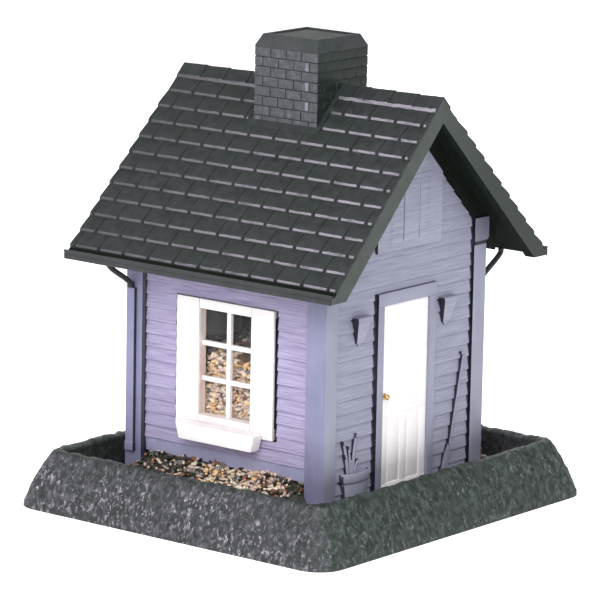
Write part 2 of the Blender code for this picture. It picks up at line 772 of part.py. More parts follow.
def build_roof(lift):
    half_y = ROOF_WIDTH / 2
    slope_foot = RIDGE_HEIGHT - EAVE_TOP
    outline = [
        (-half_y, EAVE_BOTTOM),
        (half_y, EAVE_BOTTOM),
        (half_y, EAVE_TOP),
        (slope_foot, EAVE_TOP),
        (0.0, RIDGE_HEIGHT),
        (-slope_foot, EAVE_TOP),
        (-half_y, EAVE_TOP),
    ]
    half_x = ROOF_LENGTH / 2
    mesh = plate_mesh("roof_shell", outline, -half_x, half_x, "X")
    for vert in mesh.vertices:
        rise = (vert.co.z - EAVE_BOTTOM) / (RIDGE_HEIGHT - EAVE_BOTTOM)
        vert.co.x *= 1 - rise * ROOF_END_DRAFT / half_x
    roof = add_part("roof_shell", mesh, "charcoal")
    roof.parent = lift
    roof.matrix_parent_inverse = lift.matrix_world.inverted()

    lip_in = half_y - ROOF_SHEET
    below = EAVE_BOTTOM - ROOF_SHEET
    attic = [
        (-lip_in, below),
        (lip_in, below),
        (lip_in, roof_slope(lip_in, SHEET_DROP)),
        (0.0, roof_slope(0.0, SHEET_DROP)),
        (-lip_in, roof_slope(lip_in, SHEET_DROP)),
    ]
    attic_x = half_x - ROOF_END_DRAFT - RAKE_THICKNESS
    cut(roof, add_tool("attic", plate_mesh("attic", attic, -attic_x, attic_x, "X")))
    rake_in = roof_slope(0.0, RAKE_DEPTH) - EAVE_BOTTOM
    rake = [
        (-rake_in - ROOF_SHEET, below),
        (rake_in + ROOF_SHEET, below),
        (0.0, roof_slope(0.0, RAKE_DEPTH)),
    ]
    cut(roof, add_tool("rake_opening", plate_mesh("rake_opening", rake, -half_x - 0.01, half_x + 0.01, "X")))

    saddle_out = HOUSE_X / 2
    saddle_in = saddle_out - SADDLE_THICKNESS
    wall_inner = HOUSE_X / 2 - BOARD_PROUD - LAP - SHEET
    fin_out = wall_inner - GAP
    for end in (-1, 1):
        tag = "right" if end > 0 else "left"
        low, high = sorted((end * saddle_in, end * saddle_out))
        band = plate_mesh("saddle_" + tag, chevron(0.6 * SHEET_DROP, SADDLE_DEPTH, SADDLE_REACH), low, high, "X")
        join(roof, add_tool("saddle_" + tag, band))

        def fins(tool, end=end):
            for side in (-1, 1):
                near, far = sorted((end * (saddle_in + 0.0002), end * fin_out))
                low_y, high_y = sorted((side * FIN_OFFSET, side * (FIN_OFFSET + FIN_WIDTH)))
                top = roof_slope(FIN_OFFSET + FIN_WIDTH / 2, SADDLE_DEPTH - 0.5 * FIN_WIDTH)
                bottom = roof_slope(FIN_OFFSET + FIN_WIDTH, SADDLE_DEPTH + FIN_DROP)
                add_box(tool, (near, low_y, bottom), (far, high_y, top))

        join(roof, add_tool("fins_" + tag, mesh_from(fins, "fins_" + tag)))

    curb_out = CHIMNEY_SIDE / 2 - CHIMNEY_WALL - CHIMNEY_CLEARANCE
    curb_in = curb_out - CURB_WALL
    low = roof_slope(curb_out, 0.5 * SHEET_DROP)
    curb = box_mesh("curb", (-curb_out, -curb_out, low), (curb_out, curb_out, RIDGE_HEIGHT + CURB_RISE))
    join(roof, add_tool("curb", curb))
    hole = box_mesh("fill_hole", (-curb_in, -curb_in, low - 0.03), (curb_in, curb_in, RIDGE_HEIGHT + 0.02))
    cut(roof, add_tool("fill_hole", hole))


def build_elbow(side_name, turn, lift):
    """A bent round pipe from under the eave to just above the downspout."""
    name = "gutter_elbow_" + side_name
    spout_y = HOUSE_Y / 2 + GAP + SPOUT_DEPTH / 2 + 0.0012
    top = roof_slope(ELBOW_Y + ELBOW_RADIUS, SHEET_DROP) - GAP
    low = SPOUT_TOP + GAP
    bend = 0.0045
    route = [
        (-SPOUT_X, -ELBOW_Y, top),
        (-SPOUT_X, -ELBOW_Y, top - bend / 2),
        (-SPOUT_X, -ELBOW_Y + bend * 0.6, top - bend),
        (-SPOUT_X, -spout_y - bend * 0.6, low + bend),
        (-SPOUT_X, -spout_y, low + bend / 2),
        (-SPOUT_X, -spout_y, low),
    ]
    curve = bpy.data.curves.new(name, "CURVE")
    curve.dimensions = "3D"
    curve.bevel_depth = ELBOW_RADIUS
    curve.bevel_resolution = 2
    curve.use_fill_caps = True
    spline = curve.splines.new("POLY")
    spline.points.add(len(route) - 1)
    for point, place in zip(spline.points, route):
        point.co = (*place, 1.0)
    elbow = bpy.data.objects.new(name, curve)
    curve.materials.append(material("charcoal"))
    FEEDER.objects.link(elbow)
    elbow.rotation_euler.z = turn
    elbow.parent = lift
    elbow.matrix_parent_inverse = lift.matrix_world.inverted()


def build_chimney(lift):
    half = CHIMNEY_SIDE / 2
    foot = roof_slope(half) - 0.004

    def block(shape):
        verts = add_box(shape, (-half, -half, foot), (half, half, CHIMNEY_TOP - CHIMNEY_BEVEL))
        top = [face for face in shape.faces if face.normal.z > 0.9]
        raised = bmesh.ops.extrude_face_region(shape, geom=top)["geom"]
        bmesh.ops.delete(shape, geom=top, context="FACES")
        for vert in raised:
            if isinstance(vert, bmesh.types.BMVert):
                vert.co.z = CHIMNEY_TOP
                vert.co.x *= 1 - CHIMNEY_BEVEL_IN / half
                vert.co.y *= 1 - CHIMNEY_BEVEL_IN / half
        assert len(verts) == 8

    chimney = add_part("chimney_cap", mesh_from(block, "chimney_cap"), "charcoal")
    chimney.parent = lift
    chimney.matrix_parent_inverse = lift.matrix_world.inverted()
    reach = half + 0.01
    seat = [
        (-reach, roof_slope(reach) - 0.03),
        (reach, roof_slope(reach) - 0.03),
        (reach, roof_slope(reach) + GAP),
        (0.0, roof_slope(0.0) + GAP),
        (-reach, roof_slope(reach) + GAP),
    ]
    cut(chimney, add_tool("chimney_seat", plate_mesh("chimney_seat", seat, -reach, reach, "X")))
    inner = half - CHIMNEY_WALL
    ceiling = CHIMNEY_TOP - CHIMNEY_WALL - 2 * CHIMNEY_RECESS
    hollow = box_mesh("chimney_hollow", (-inner, -inner, foot - 0.02), (inner, inner, ceiling))
    cut(chimney, add_tool("chimney_hollow", hollow))
    lip = half - CHIMNEY_BEVEL_IN - CHIMNEY_WALL
    recess = box_mesh("chimney_recess", (-lip, -lip, CHIMNEY_TOP - CHIMNEY_RECESS), (lip, lip, CHIMNEY_TOP + 0.01))
    cut(chimney, add_tool("chimney_recess", recess))


def lift_empty(name, height):
    empty = bpy.data.objects.new(name, None)
    empty.location = (0.0, 0.0, height)
    FEEDER.objects.link(empty)
    bpy.context.view_layer.update()
    return empty


def build_feeder():
    build_tray()
    build_pole_socket()
    build_baffle()
    for window_side, door_side, turn in (("front", "right", 0.0), ("back", "left", HALF_TURN)):
        build_gable_wall("gable_wall_" + door_side, turn)
        build_door(door_side, turn)
        build_eave_wall(window_side, turn)
        build_window(window_side, turn)
        build_downspout(window_side, turn)
    roof_lift = lift_empty("roof_lift", EAVE_BOTTOM)
    build_roof(roof_lift)
    for window_side, turn in (("front", 0.0), ("back", HALF_TURN)):
        build_elbow(window_side, turn, roof_lift)
    build_chimney(lift_empty("chimney_lift", RIDGE_HEIGHT))


build_feeder()
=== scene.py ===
import math
import random

import bmesh
import bpy
from mathutils import Matrix, Vector, noise


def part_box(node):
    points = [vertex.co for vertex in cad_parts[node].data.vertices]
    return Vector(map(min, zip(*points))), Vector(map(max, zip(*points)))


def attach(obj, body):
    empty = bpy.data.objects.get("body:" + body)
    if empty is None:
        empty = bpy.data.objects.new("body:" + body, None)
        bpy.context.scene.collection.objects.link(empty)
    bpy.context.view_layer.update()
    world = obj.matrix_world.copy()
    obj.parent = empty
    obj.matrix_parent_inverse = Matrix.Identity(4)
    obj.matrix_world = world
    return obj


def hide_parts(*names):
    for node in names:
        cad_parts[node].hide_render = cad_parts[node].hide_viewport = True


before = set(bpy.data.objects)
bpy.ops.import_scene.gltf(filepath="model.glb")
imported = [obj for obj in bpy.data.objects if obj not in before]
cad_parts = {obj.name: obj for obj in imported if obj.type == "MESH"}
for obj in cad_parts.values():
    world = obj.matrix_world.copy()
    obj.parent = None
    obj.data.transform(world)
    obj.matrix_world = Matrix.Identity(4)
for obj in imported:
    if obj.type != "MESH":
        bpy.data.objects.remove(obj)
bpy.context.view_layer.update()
random.seed(11)
print("frame loaded")

# Lengths below are millimetres until a piece is finished. Walls are drawn flat: u along the wall, v up and
# w out of it, with w = 0 on the face of the corner boards. One copy is turned half a turn for the far side.

mm = 0.001
halfTurn = math.pi
sides = {"eave": ("front", "back"), "gable": ("right", "left"), "all": ("",)}


def cadBox(node):
    low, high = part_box(node)
    return low / mm, high / mm


wallX = cadBox("gable_wall_right")[1].x
wallY = cadBox("gable_wall_right")[1].y
roofHigh = cadBox("roof_shell")[1]
trayHigh = cadBox("base_tray")[1]
doorLow, doorHigh = cadBox("door_right")
frameLow, frameHigh = cadBox("window_frame_front")
chimneyLow, chimneyHigh = cadBox("chimney_cap")
trayCrest = trayHigh.z
wallPlaces = {
    "eave": Matrix(((1, 0, 0, 0), (0, 0, -1, -wallY), (0, 1, 0, 0), (0, 0, 0, 1))),
    "gable": Matrix(((0, 0, 1, wallX), (1, 0, 0, 0), (0, 1, 0, 0), (0, 0, 0, 1))),
    "all": Matrix.Identity(4),
}

# ---------------------------------------------------------------- materials


class Finish:
    def __init__(self, name, **surface):
        self.material = bpy.data.materials.new(name)
        self.material.use_nodes = True
        self.nodes = self.material.node_tree.nodes
        self.links = self.material.node_tree.links
        self.shader = self.nodes["Principled BSDF"]
        for socket, value in surface.items():
            self.shader.inputs[socket.replace("_", " ")].default_value = value
        self.where = self.nodes.new("ShaderNodeTexCoord")

    def join(self, source, target):
        self.links.new(source, target)

    def space(self, scale, turn=(0, 0, 0)):
        mapping = self.nodes.new("ShaderNodeMapping")
        mapping.inputs["Scale"].default_value = scale
        mapping.inputs["Rotation"].default_value = turn
        self.join(self.where.outputs["Object"], mapping.inputs["Vector"])
        return mapping.outputs["Vector"]

    def grain(self, scale, stretch=(1, 1, 1), detail=4.0, rough=0.55, twist=0.0):
        texture = self.nodes.new("ShaderNodeTexNoise")
        texture.inputs["Scale"].default_value = scale
        texture.inputs["Detail"].default_value = detail
        texture.inputs["Roughness"].default_value = rough
        texture.inputs["Distortion"].default_value = twist
        self.join(self.space(stretch), texture.inputs["Vector"])
        return texture.outputs["Fac"]

    def cells(self, scale, stretch=(1, 1, 1), feature="F1"):
        texture = self.nodes.new("ShaderNodeTexVoronoi")
        texture.feature = feature
        texture.inputs["Scale"].default_value = scale
        self.join(self.space(stretch), texture.inputs["Vector"])
        return texture.outputs["Distance"]

    def ramp(self, value, stops):
        ramp = self.nodes.new("ShaderNodeValToRGB")
        band = ramp.color_ramp
        while len(band.elements) < len(stops):
            band.elements.new(0.5)
        for element, (place, colour) in zip(band.elements, stops):
            element.position = place
            element.color = (*colour, 1.0)
        self.join(value, ramp.inputs["Fac"])
        return ramp.outputs["Color"]

    def level(self, value, low, high, out=(0.0, 1.0)):
        change = self.nodes.new("ShaderNodeMapRange")
        change.inputs["From Min"].default_value = low
        change.inputs["From Max"].default_value = high
        change.inputs["To Min"].default_value = out[0]
        change.inputs["To Max"].default_value = out[1]
        self.join(value, change.inputs["Value"])
        return change.outputs["Result"]

    def mix(self, share, first, second, blend="MIX"):
        mix = self.nodes.new("ShaderNodeMix")
        mix.data_type = "RGBA"
        mix.blend_type = blend
        for socket, value in ((mix.inputs[0], share), (mix.inputs[6], first), (mix.inputs[7], second)):
            if isinstance(value, (int, float)):
                socket.default_value = value
            elif isinstance(value, tuple):
                socket.default_value = (*value, 1.0)
            else:
                self.join(value, socket)
        return mix.outputs[2]

    def math(self, kind, first, second):
        step = self.nodes.new("ShaderNodeMath")
        step.operation = kind
        for socket, value in zip(step.inputs, (first, second)):
            if isinstance(value, (int, float)):
                socket.default_value = value
            else:
                self.join(value, socket)
        return step.outputs[0]

    def facing(self, axis):
        split = self.nodes.new("ShaderNodeSeparateXYZ")
        self.join(self.where.outputs["Normal"], split.inputs[0])
        return self.math("ABSOLUTE", split.outputs[axis], 0.0)

    def colour(self, value):
        self.join(value, self.shader.inputs["Base Color"])

    def roughness(self, value, low, high):
        self.join(self.level(value, 0.3, 0.7, (low, high)), self.shader.inputs["Roughness"])

    def bump(self, value, height, strength=1.0):
        bump = self.nodes.new("ShaderNodeBump")
        bump.inputs["Distance"].default_value = height * mm
        bump.inputs["Strength"].default_value = strength
        self.join(value, bump.inputs["Height"])
        if self.shader.inputs["Normal"].is_linked:
            before = self.shader.inputs["Normal"].links[0].from_socket
            self.join(before, bump.inputs["Normal"])
        self.join(bump.outputs["Normal"], self.shader.inputs["Normal"])


def boardFinish(name, low, middle, high, grain=1.0):
    made = Finish(name, Roughness=0.5)
    fibres = made.grain(1.0, (38, 38, 900), 7.0, 0.62, 0.6)
    broad = made.grain(1.0, (14, 14, 120), 3.0)
    stain = made.grain(22.0)
    base = made.ramp(fibres, ((0.34, low), (0.5, middle), (0.68, high)))
    base = made.mix(made.level(broad, 0.35, 0.7, (0.0, 0.35)), base, high)
    made.colour(made.mix(made.level(stain, 0.4, 0.7, (0.0, 0.25)), base, low))
    made.roughness(fibres, 0.62, 0.42)
    made.bump(broad, 0.35 * grain)
    made.bump(fibres, 0.42 * grain)
    return made.material


def smoothFinish(name, low, high, rough=0.45, speck=0.05, shine=0.5):
    made = Finish(name, Roughness=rough, Specular_IOR_Level=shine)
    cloud = made.grain(35.0, detail=5.0)
    fine = made.grain(900.0, detail=2.0)
    streak = made.grain(1.0, (260, 260, 30), 4.0)
    blend = made.mix(made.level(streak, 0.35, 0.65, (0.0, 0.5)), cloud, streak)
    made.colour(made.ramp(blend, ((0.35, low), (0.65, high))))
    made.roughness(cloud, rough - 0.06, rough + 0.08)
    made.bump(fine, speck)
    return made.material


def shingleFinish(name, low, high, tint):
    made = Finish(name, Roughness=0.62)
    mottle = made.grain(170.0, detail=6.0, rough=0.7)
    streak = made.grain(1.0, (420, 90, 90), 5.0, 0.6)
    patch = made.grain(24.0)
    base = made.ramp(mottle, ((0.32, low), (0.7, high)))
    base = made.mix(made.level(patch, 0.45, 0.7, (0.0, 0.6)), base, tint)
    made.colour(made.mix(made.level(streak, 0.55, 0.75, (0.0, 0.35)), base, high))
    made.roughness(mottle, 0.52, 0.74)
    made.bump(streak, 0.22)
    made.bump(mottle, 0.3)
    return made.material


def rakeFinish(name, low, high, dark):
    # The board is darker over the far slope, where y > 0.
    made = Finish(name, Roughness=0.62)
    mottle = made.grain(150.0, detail=6.0, rough=0.7)
    streak = made.grain(1.0, (90, 420, 420), 5.0, 0.6)
    split = made.nodes.new("ShaderNodeSeparateXYZ")
    made.join(made.where.outputs["Object"], split.inputs[0])
    base = made.ramp(mottle, ((0.32, low), (0.7, high)))
    base = made.mix(made.level(streak, 0.5, 0.75, (0.0, 0.4)), base, high)
    made.colour(made.mix(made.level(split.outputs[1], -0.01, 0.05, (0.0, 0.72)), base, dark))
    made.roughness(mottle, 0.52, 0.74)
    made.bump(streak, 0.15)
    made.bump(mottle, 0.25)
    return made.material


def edgeFinish(name, low, high):
    # Pale paint dragged over the shingle butts, with a painted highlight on them; it fades towards -x, which is painted
    # light falling off along the roof.
    made = Finish(name, Roughness=0.6)
    worn = made.grain(1.0, (90, 260, 420), 6.0, 0.7)
    split = made.nodes.new("ShaderNodeSeparateXYZ")
    made.join(made.where.outputs["Object"], split.inputs[0])
    along = made.level(split.outputs[0], -0.11, 0.08, (0.12, 1.0))
    paleAndLitShare = made.math("MULTIPLY", made.level(worn, 0.28, 0.52), along)
    made.colour(made.mix(paleAndLitShare, low, high))
    made.roughness(worn, 0.52, 0.74)
    made.bump(worn, 0.3)
    return made.material


def stoneFinish(name, shade=1.0):
    made = Finish(name, Roughness=0.6)
    lump = made.grain(1.0, (260, 260, 150), 6.0, 0.66, 0.6)
    chip = made.cells(1.0, (420, 420, 260))
    fleck = made.grain(1.0, (430, 430, 260), 3.0, 0.6, 0.5)
    patch = made.grain(45.0)
    # Faces turned along x take darker, greener colours than faces turned along y: painted shade on the sides.
    sideways = made.level(made.facing(1), 0.35, 0.75)
    litFrontBase = made.ramp(lump, ((0.34, (0.006, 0.009, 0.010)), (0.5, (0.029, 0.033, 0.037)), (0.68, (0.110, 0.108, 0.128))))
    shadedSideBase = made.ramp(lump, ((0.34, (0.003, 0.008, 0.005)), (0.5, (0.019, 0.030, 0.025)), (0.68, (0.078, 0.100, 0.088))))
    base = made.mix(sideways, shadedSideBase, litFrontBase)
    pale = made.mix(sideways, (0.22, 0.26, 0.255), (0.60, 0.56, 0.66))
    split = made.nodes.new("ShaderNodeSeparateXYZ")
    made.join(made.where.outputs["Object"], split.inputs[0])
    lower = made.level(split.outputs[2], 0.037, 0.024, (0.12, 1.0))
    share = made.math("MULTIPLY", made.level(fleck, 0.545, 0.64), made.level(patch, 0.36, 0.6, (0.25, 1.0)))
    share = made.math("MULTIPLY", share, lower)
    speckled = made.mix(made.math("MULTIPLY", share, made.level(chip, 0.1, 0.5, (0.95, 0.35))), base, pale)
    # A shade below 1 darkens the whole stone towards near-black: painted shade.
    made.colour(made.mix(1.0 - shade, speckled, (0.004, 0.007, 0.005)))
    made.roughness(lump, 0.45, 0.72)
    made.bump(lump, 0.9)
    made.bump(chip, 0.45)
    made.bump(fleck, 0.3)
    return made.material


def brickFinish(name):
    made = Finish(name, Roughness=0.6)
    wear = made.grain(240.0, detail=6.0, rough=0.7)
    patch = made.grain(60.0)
    # Faces turned along x take darker, greener colours than faces turned along y: painted shade on the chimney's sides.
    sideways = made.level(made.facing(1), 0.35, 0.75)
    front = made.ramp(wear, ((0.32, (0.030, 0.032, 0.039)), (0.55, (0.070, 0.072, 0.086)), (0.75, (0.17, 0.16, 0.20))))
    side = made.ramp(wear, ((0.32, (0.003, 0.008, 0.005)), (0.7, (0.012, 0.022, 0.018))))
    front = made.mix(made.level(patch, 0.45, 0.7, (0.0, 0.45)), front, (0.05, 0.052, 0.058))
    made.colour(made.mix(sideways, side, front))
    made.roughness(wear, 0.48, 0.7)
    made.bump(wear, 0.3)
    return made.material


def seedFinish(name, low, high, striped=None):
    made = Finish(name, Roughness=0.5)
    cloud = made.grain(420.0, detail=3.0)
    base = made.ramp(cloud, ((0.35, low), (0.65, high)))
    if striped:
        lines = made.grain(1.0, (1500, 1500, 500), 2.0)
        base = made.mix(made.level(lines, 0.5, 0.56), base, striped)
    made.colour(base)
    made.roughness(cloud, 0.35, 0.6)
    made.bump(cloud, 0.12)
    return made.material


def clearFinish(name):
    made = Finish(name, Roughness=0.05, IOR=1.49, Base_Color=(0.9, 0.93, 0.94, 1.0), Alpha=0.12)
    smear = made.grain(45.0, detail=5.0)
    dust = made.grain(700.0, detail=2.0)
    made.roughness(smear, 0.03, 0.16)
    haze = made.math("ADD", made.level(smear, 0.45, 0.8, (0.02, 0.07)), made.level(dust, 0.66, 0.75, (0.0, 0.08)))
    made.join(haze, made.shader.inputs["Alpha"])
    made.colour(made.ramp(smear, ((0.3, (0.70, 0.74, 0.77)), (0.7, (0.88, 0.90, 0.92)))))
    return made.material


def metalFinish(name, low, high, rough):
    made = Finish(name, Metallic=1.0, Roughness=rough)
    cloud = made.grain(300.0, detail=4.0)
    lines = made.grain(1.0, (3000, 400, 400), 2.0)
    made.colour(made.ramp(cloud, ((0.35, low), (0.65, high))))
    made.roughness(cloud, rough - 0.08, rough + 0.12)
    made.bump(lines, 0.02)
    return made.material


finishes = {
    "windowSiding": boardFinish("window_siding", (0.235, 0.200, 0.335), (0.345, 0.300, 0.475), (0.450, 0.410, 0.590)),
    "doorSiding": boardFinish("door_siding", (0.215, 0.222, 0.300), (0.265, 0.270, 0.360), (0.325, 0.328, 0.425), 0.5),
    "windowTrim": smoothFinish("window_trim", (0.185, 0.190, 0.305), (0.243, 0.242, 0.385)),
    "doorTrim": smoothFinish("door_trim", (0.235, 0.242, 0.322), (0.290, 0.295, 0.385)),
    "skirt": smoothFinish("skirt_paint", (0.320, 0.325, 0.500), (0.410, 0.415, 0.610)),
    # block is a darker lavender: painted shade on the seat blocks.
    "block": smoothFinish("block_painted_shade", (0.135, 0.140, 0.195), (0.195, 0.200, 0.270)),
    # bare is near-black painted shade for side faces, grooves and gaps that lie in shadow.
    "bare": smoothFinish("painted_shade_plastic", (0.012, 0.011, 0.022), (0.030, 0.026, 0.050), 0.5, 0.08),
    "white": smoothFinish("white_plastic", (0.85, 0.81, 0.82), (0.91, 0.885, 0.89), 0.4, 0.03),
    # reveal is the white plastic in shade: painted shade on the window's side jambs.
    "reveal": smoothFinish("reveal_white_in_shade", (0.66, 0.52, 0.48), (0.80, 0.68, 0.63), 0.45, 0.03),
    "shingle": shingleFinish("shingle", (0.008, 0.011, 0.011), (0.032, 0.037, 0.040), (0.014, 0.022, 0.019)),
    "paleEdgeAndHighlight": edgeFinish("shingle_edge_paint_and_highlight", (0.034, 0.038, 0.042), (0.285, 0.265, 0.315)),
    "rake": rakeFinish("rake_board", (0.028, 0.037, 0.034), (0.062, 0.073, 0.070), (0.010, 0.017, 0.013)),
    # gutterLip is a lighter lip: painted highlight along the gutter's edge.
    "gutterLip": shingleFinish("gutter_lip", (0.028, 0.037, 0.034), (0.062, 0.073, 0.070), (0.042, 0.055, 0.050)),
    # under is darker than the shingles: painted shade under the roof.
    "under": smoothFinish("roof_underside_shade", (0.004, 0.007, 0.005), (0.009, 0.014, 0.011), 0.75, 0.1, 0.1),
    "gutter": smoothFinish("gutter", (0.011, 0.014, 0.016), (0.028, 0.030, 0.035), 0.6, 0.06),
    "stone": stoneFinish("stone_tray"),
    "stoneShade": stoneFinish("stone_shade", 0.3),
    "mortar": smoothFinish("mortar", (0.014, 0.019, 0.019), (0.030, 0.035, 0.038), 0.65, 0.15),
    # fleck is a painted highlight for the chimney's corner bricks.
    "fleck": smoothFinish("pale_corner_highlight", (0.10, 0.10, 0.12), (0.28, 0.27, 0.33), 0.6, 0.1),
    "brick": brickFinish("brick"),
    "lid": smoothFinish("chimney_lid", (0.007, 0.012, 0.010), (0.018, 0.026, 0.023), 0.7, 0.2, 0.25),
    "crown": smoothFinish("chimney_crown", (0.020, 0.026, 0.027), (0.046, 0.053, 0.057), 0.62, 0.2),
    "dark": smoothFinish("dark_plastic", (0.018, 0.020, 0.021), (0.034, 0.037, 0.039), 0.5, 0.08),
    "clear": clearFinish("clear_pane"),
    "brass": metalFinish("brass", (0.50, 0.34, 0.13), (0.70, 0.52, 0.24), 0.3),
    "steel": metalFinish("zinc_steel", (0.48, 0.48, 0.50), (0.66, 0.66, 0.68), 0.34),
    "cream": seedFinish("seed_cream", (0.62, 0.50, 0.36), (0.90, 0.80, 0.66)),
    "tan": seedFinish("seed_tan", (0.62, 0.36, 0.15), (0.90, 0.62, 0.32)),
    "pink": seedFinish("seed_pink", (0.42, 0.30, 0.26), (0.74, 0.58, 0.52)),
    # The near-black seed bed is painted shade in the gaps between seeds.
    "shadeBed": seedFinish("seed_shade_bed", (0.010, 0.014, 0.009), (0.040, 0.038, 0.024)),
    "brown": seedFinish("seed_brown", (0.10, 0.045, 0.022), (0.28, 0.13, 0.06)),
    "striped": seedFinish("seed_striped", (0.03, 0.028, 0.03), (0.07, 0.065, 0.07), (0.42, 0.38, 0.34)),
}
print("materials made")

# ---------------------------------------------------------------- building helpers


def boxInto(shape, low, high, slot=0):
    low, high = Vector(low), Vector(high)
    place = Matrix.Translation((low + high) / 2) @ Matrix.Diagonal((*(high - low), 1.0))
    verts = bmesh.ops.create_cube(shape, size=1.0, matrix=place)["verts"]
    for face in {face for vert in verts for face in vert.link_faces}:
        face.material_index = slot
    return verts


def prismInto(shape, outline, low, high, slot=0):
    lower = [shape.verts.new((u, v, low)) for u, v in outline]
    upper = [shape.verts.new((u, v, high)) for u, v in outline]
    count = len(outline)
    made = [shape.faces.new(list(reversed(lower))), shape.faces.new(upper)]
    for i in range(count):
        j = (i + 1) % count
        made.append(shape.faces.new((lower[i], lower[j], upper[j], upper[i])))
    for face in made:
        face.material_index = slot
    return lower + upper


def turnInto(shape, profile, steps, centre, slot=0, axis="Z"):
    rings = []
    for radius, along in profile:
        ring = []
        for k in range(steps):
            angle = 2 * math.pi * k / steps
            across = Vector((radius * math.cos(angle), radius * math.sin(angle), along))
            if axis == "Y":
                across = Vector((across.x, across.z, -across.y))
            ring.append(shape.verts.new(Vector(centre) + across))
        rings.append(ring)
    for lower, upper in zip(rings, rings[1:]):
        for i in range(steps):
            j = (i + 1) % steps
            face = shape.faces.new((lower[i], lower[j], upper[j], upper[i]))
            face.material_index = slot
    for ring, flip in ((rings[0], True), (rings[-1], False)):
        face = shape.faces.new(list(reversed(ring)) if flip else ring)
        face.material_index = slot


def soften(shape, width, segments=2, angle=35):
    edges = [
        edge for edge in shape.edges
        if len(edge.link_faces) == 2 and edge.calc_face_angle(0.0) > math.radians(angle)
    ]
    bmesh.ops.bevel(
        shape, geom=edges, offset=width, segments=segments, affect="EDGES", clamp_overlap=True, profile=0.6
    )


def cutAway(shape, point, normal, keepBelow=True):
    parts = list(shape.verts) + list(shape.edges) + list(shape.faces)
    bmesh.ops.bisect_plane(
        shape, geom=parts, plane_co=point, plane_no=normal, clear_outer=keepBelow, clear_inner=False
    )


def shadeFacesAway(shape, paint, bare, shadow):
    # Faces turned towards shadow get the bare slot: painted shade on the sides that face away from the light.
    for face in shape.faces:
        face.normal_update()
        if face.normal.dot(shadow) > 0.45:
            face.material_index = bare
        elif paint is not None and face.material_index == bare:
            face.material_index = paint


def addPiece(kind, name, shape, slots, body="house", nodes=None, smooth=38, recalc=True):
    bmesh.ops.transform(shape, matrix=Matrix.Scale(mm, 4) @ wallPlaces[kind], verts=shape.verts)
    if recalc:
        bmesh.ops.recalc_face_normals(shape, faces=shape.faces)
    mesh = bpy.data.meshes.new(name)
    shape.to_mesh(mesh)
    shape.free()
    for slot in slots:
        mesh.materials.append(finishes[slot])
    mesh.shade_smooth()
    mesh.set_sharp_from_angle(angle=math.radians(smooth))
    made = []
    for number, side in enumerate(sides[kind]):
        piece = bpy.data.objects.new(name.replace("SIDE", side), mesh)
        bpy.context.scene.collection.objects.link(piece)
        piece.rotation_euler.z = number * halfTurn
        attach(piece, body)
        if nodes:
            for node in nodes:
                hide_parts(node.replace("SIDE", side))
        made.append(piece)
    return made


def dress(finish, *names):
    for name in names:
        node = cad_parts[name]
        if not node.material_slots:
            node.data.materials.append(finishes[finish])
        for holder in node.material_slots:
            holder.material = finishes[finish]


def wobble(u, v, seed, size):
    return size * noise.noise(Vector((u, v, seed)))


# ---------------------------------------------------------------- carried-over nodes

dress("dark", "base_tray", "pole_socket", "seed_baffle")
dress("steel", *["socket_screw_%d" % k for k in (1, 2, 3, 4)], *["post_screw_%d" % k for k in (1, 2, 3, 4)])
# The CAD walls show only in the grooves and gaps between the skins; their near-black finish there is painted shade.
dress("bare", "gable_wall_right", "gable_wall_left", "eave_wall_front", "eave_wall_back")
dress("clear", "window_pane_front", "window_pane_back")
# The roof shell shows from below; its near-black finish is painted shade.
dress("under", "roof_shell")
dress("mortar", "chimney_cap")

# ---------------------------------------------------------------- siding

siding = {
    "pitch": 8.27, "first": 44.3, "butt": -0.86, "thin": -2.04, "step": 2.2, "wave": 0.16, "ripple": 0.10,
    "hangover": 0.25, "eaveTop": 176.0, "gableTop": 246.5,
}


def clapboardsInto(shape, left, right, low, high, seed):
    pitch = siding["pitch"]
    row = math.floor((low - siding["first"]) / pitch)
    count = max(2, round((right - left) / siding["step"]))
    while siding["first"] + row * pitch < high:
        start = siding["first"] + row * pitch
        shares = (-1, 0, 0.16, 0.38, 0.62, 0.84, 1)
        columns = []
        for k in range(count + 1):
            u = left + (right - left) * k / count
            column = []
            for place, share in enumerate(shares):
                if place == 0:
                    v, w = start - siding["hangover"], siding["thin"] - 0.2
                else:
                    v = start + share * pitch
                    w = siding["butt"] + share * (siding["thin"] - siding["butt"])
                    w += wobble(u * 0.05, v * 0.55, seed + row, siding["ripple"])
                if place <= 1:
                    v += -siding["hangover"] + wobble(u * 0.11, row * 3.1, seed, siding["wave"])
                if share == 1:
                    w -= 0.1
                column.append(shape.verts.new((u, min(max(v, low - 0.3), high), w)))
            columns.append(column)
        for near, far in zip(columns, columns[1:]):
            for i in range(len(shares) - 1):
                shape.faces.new((near[i], far[i], far[i + 1], near[i + 1]))
        for column in (columns[0], columns[-1]):
            shape.faces.new(column)
        row += 1


def cutHole(shape, low, high):
    for point, normal in (
        ((low[0], 0, 0), (1, 0, 0)), ((high[0], 0, 0), (1, 0, 0)), ((0, low[1], 0), (0, 1, 0)), ((0, high[1], 0), (0, 1, 0))
    ):
        parts = list(shape.verts) + list(shape.edges) + list(shape.faces)
        bmesh.ops.bisect_plane(shape, geom=parts, plane_co=point, plane_no=normal)
    inside = []
    for face in shape.faces:
        middle = face.calc_center_median()
        if low[0] < middle.x < high[0] and low[1] < middle.y < high[1]:
            inside.append(face)
    bmesh.ops.delete(shape, geom=inside, context="FACES")


windowHole = {"left": -39.5, "right": 40.9, "low": 57.0, "high": 138.4}
shape = bmesh.new()
clapboardsInto(shape, -64.2, 63.8, 44.4, siding["eaveTop"], 3.0)
cutHole(shape, (windowHole["left"], windowHole["low"]), (windowHole["right"], windowHole["high"]))
addPiece("eave", "siding_SIDE", shape, ["windowSiding"], smooth=28)

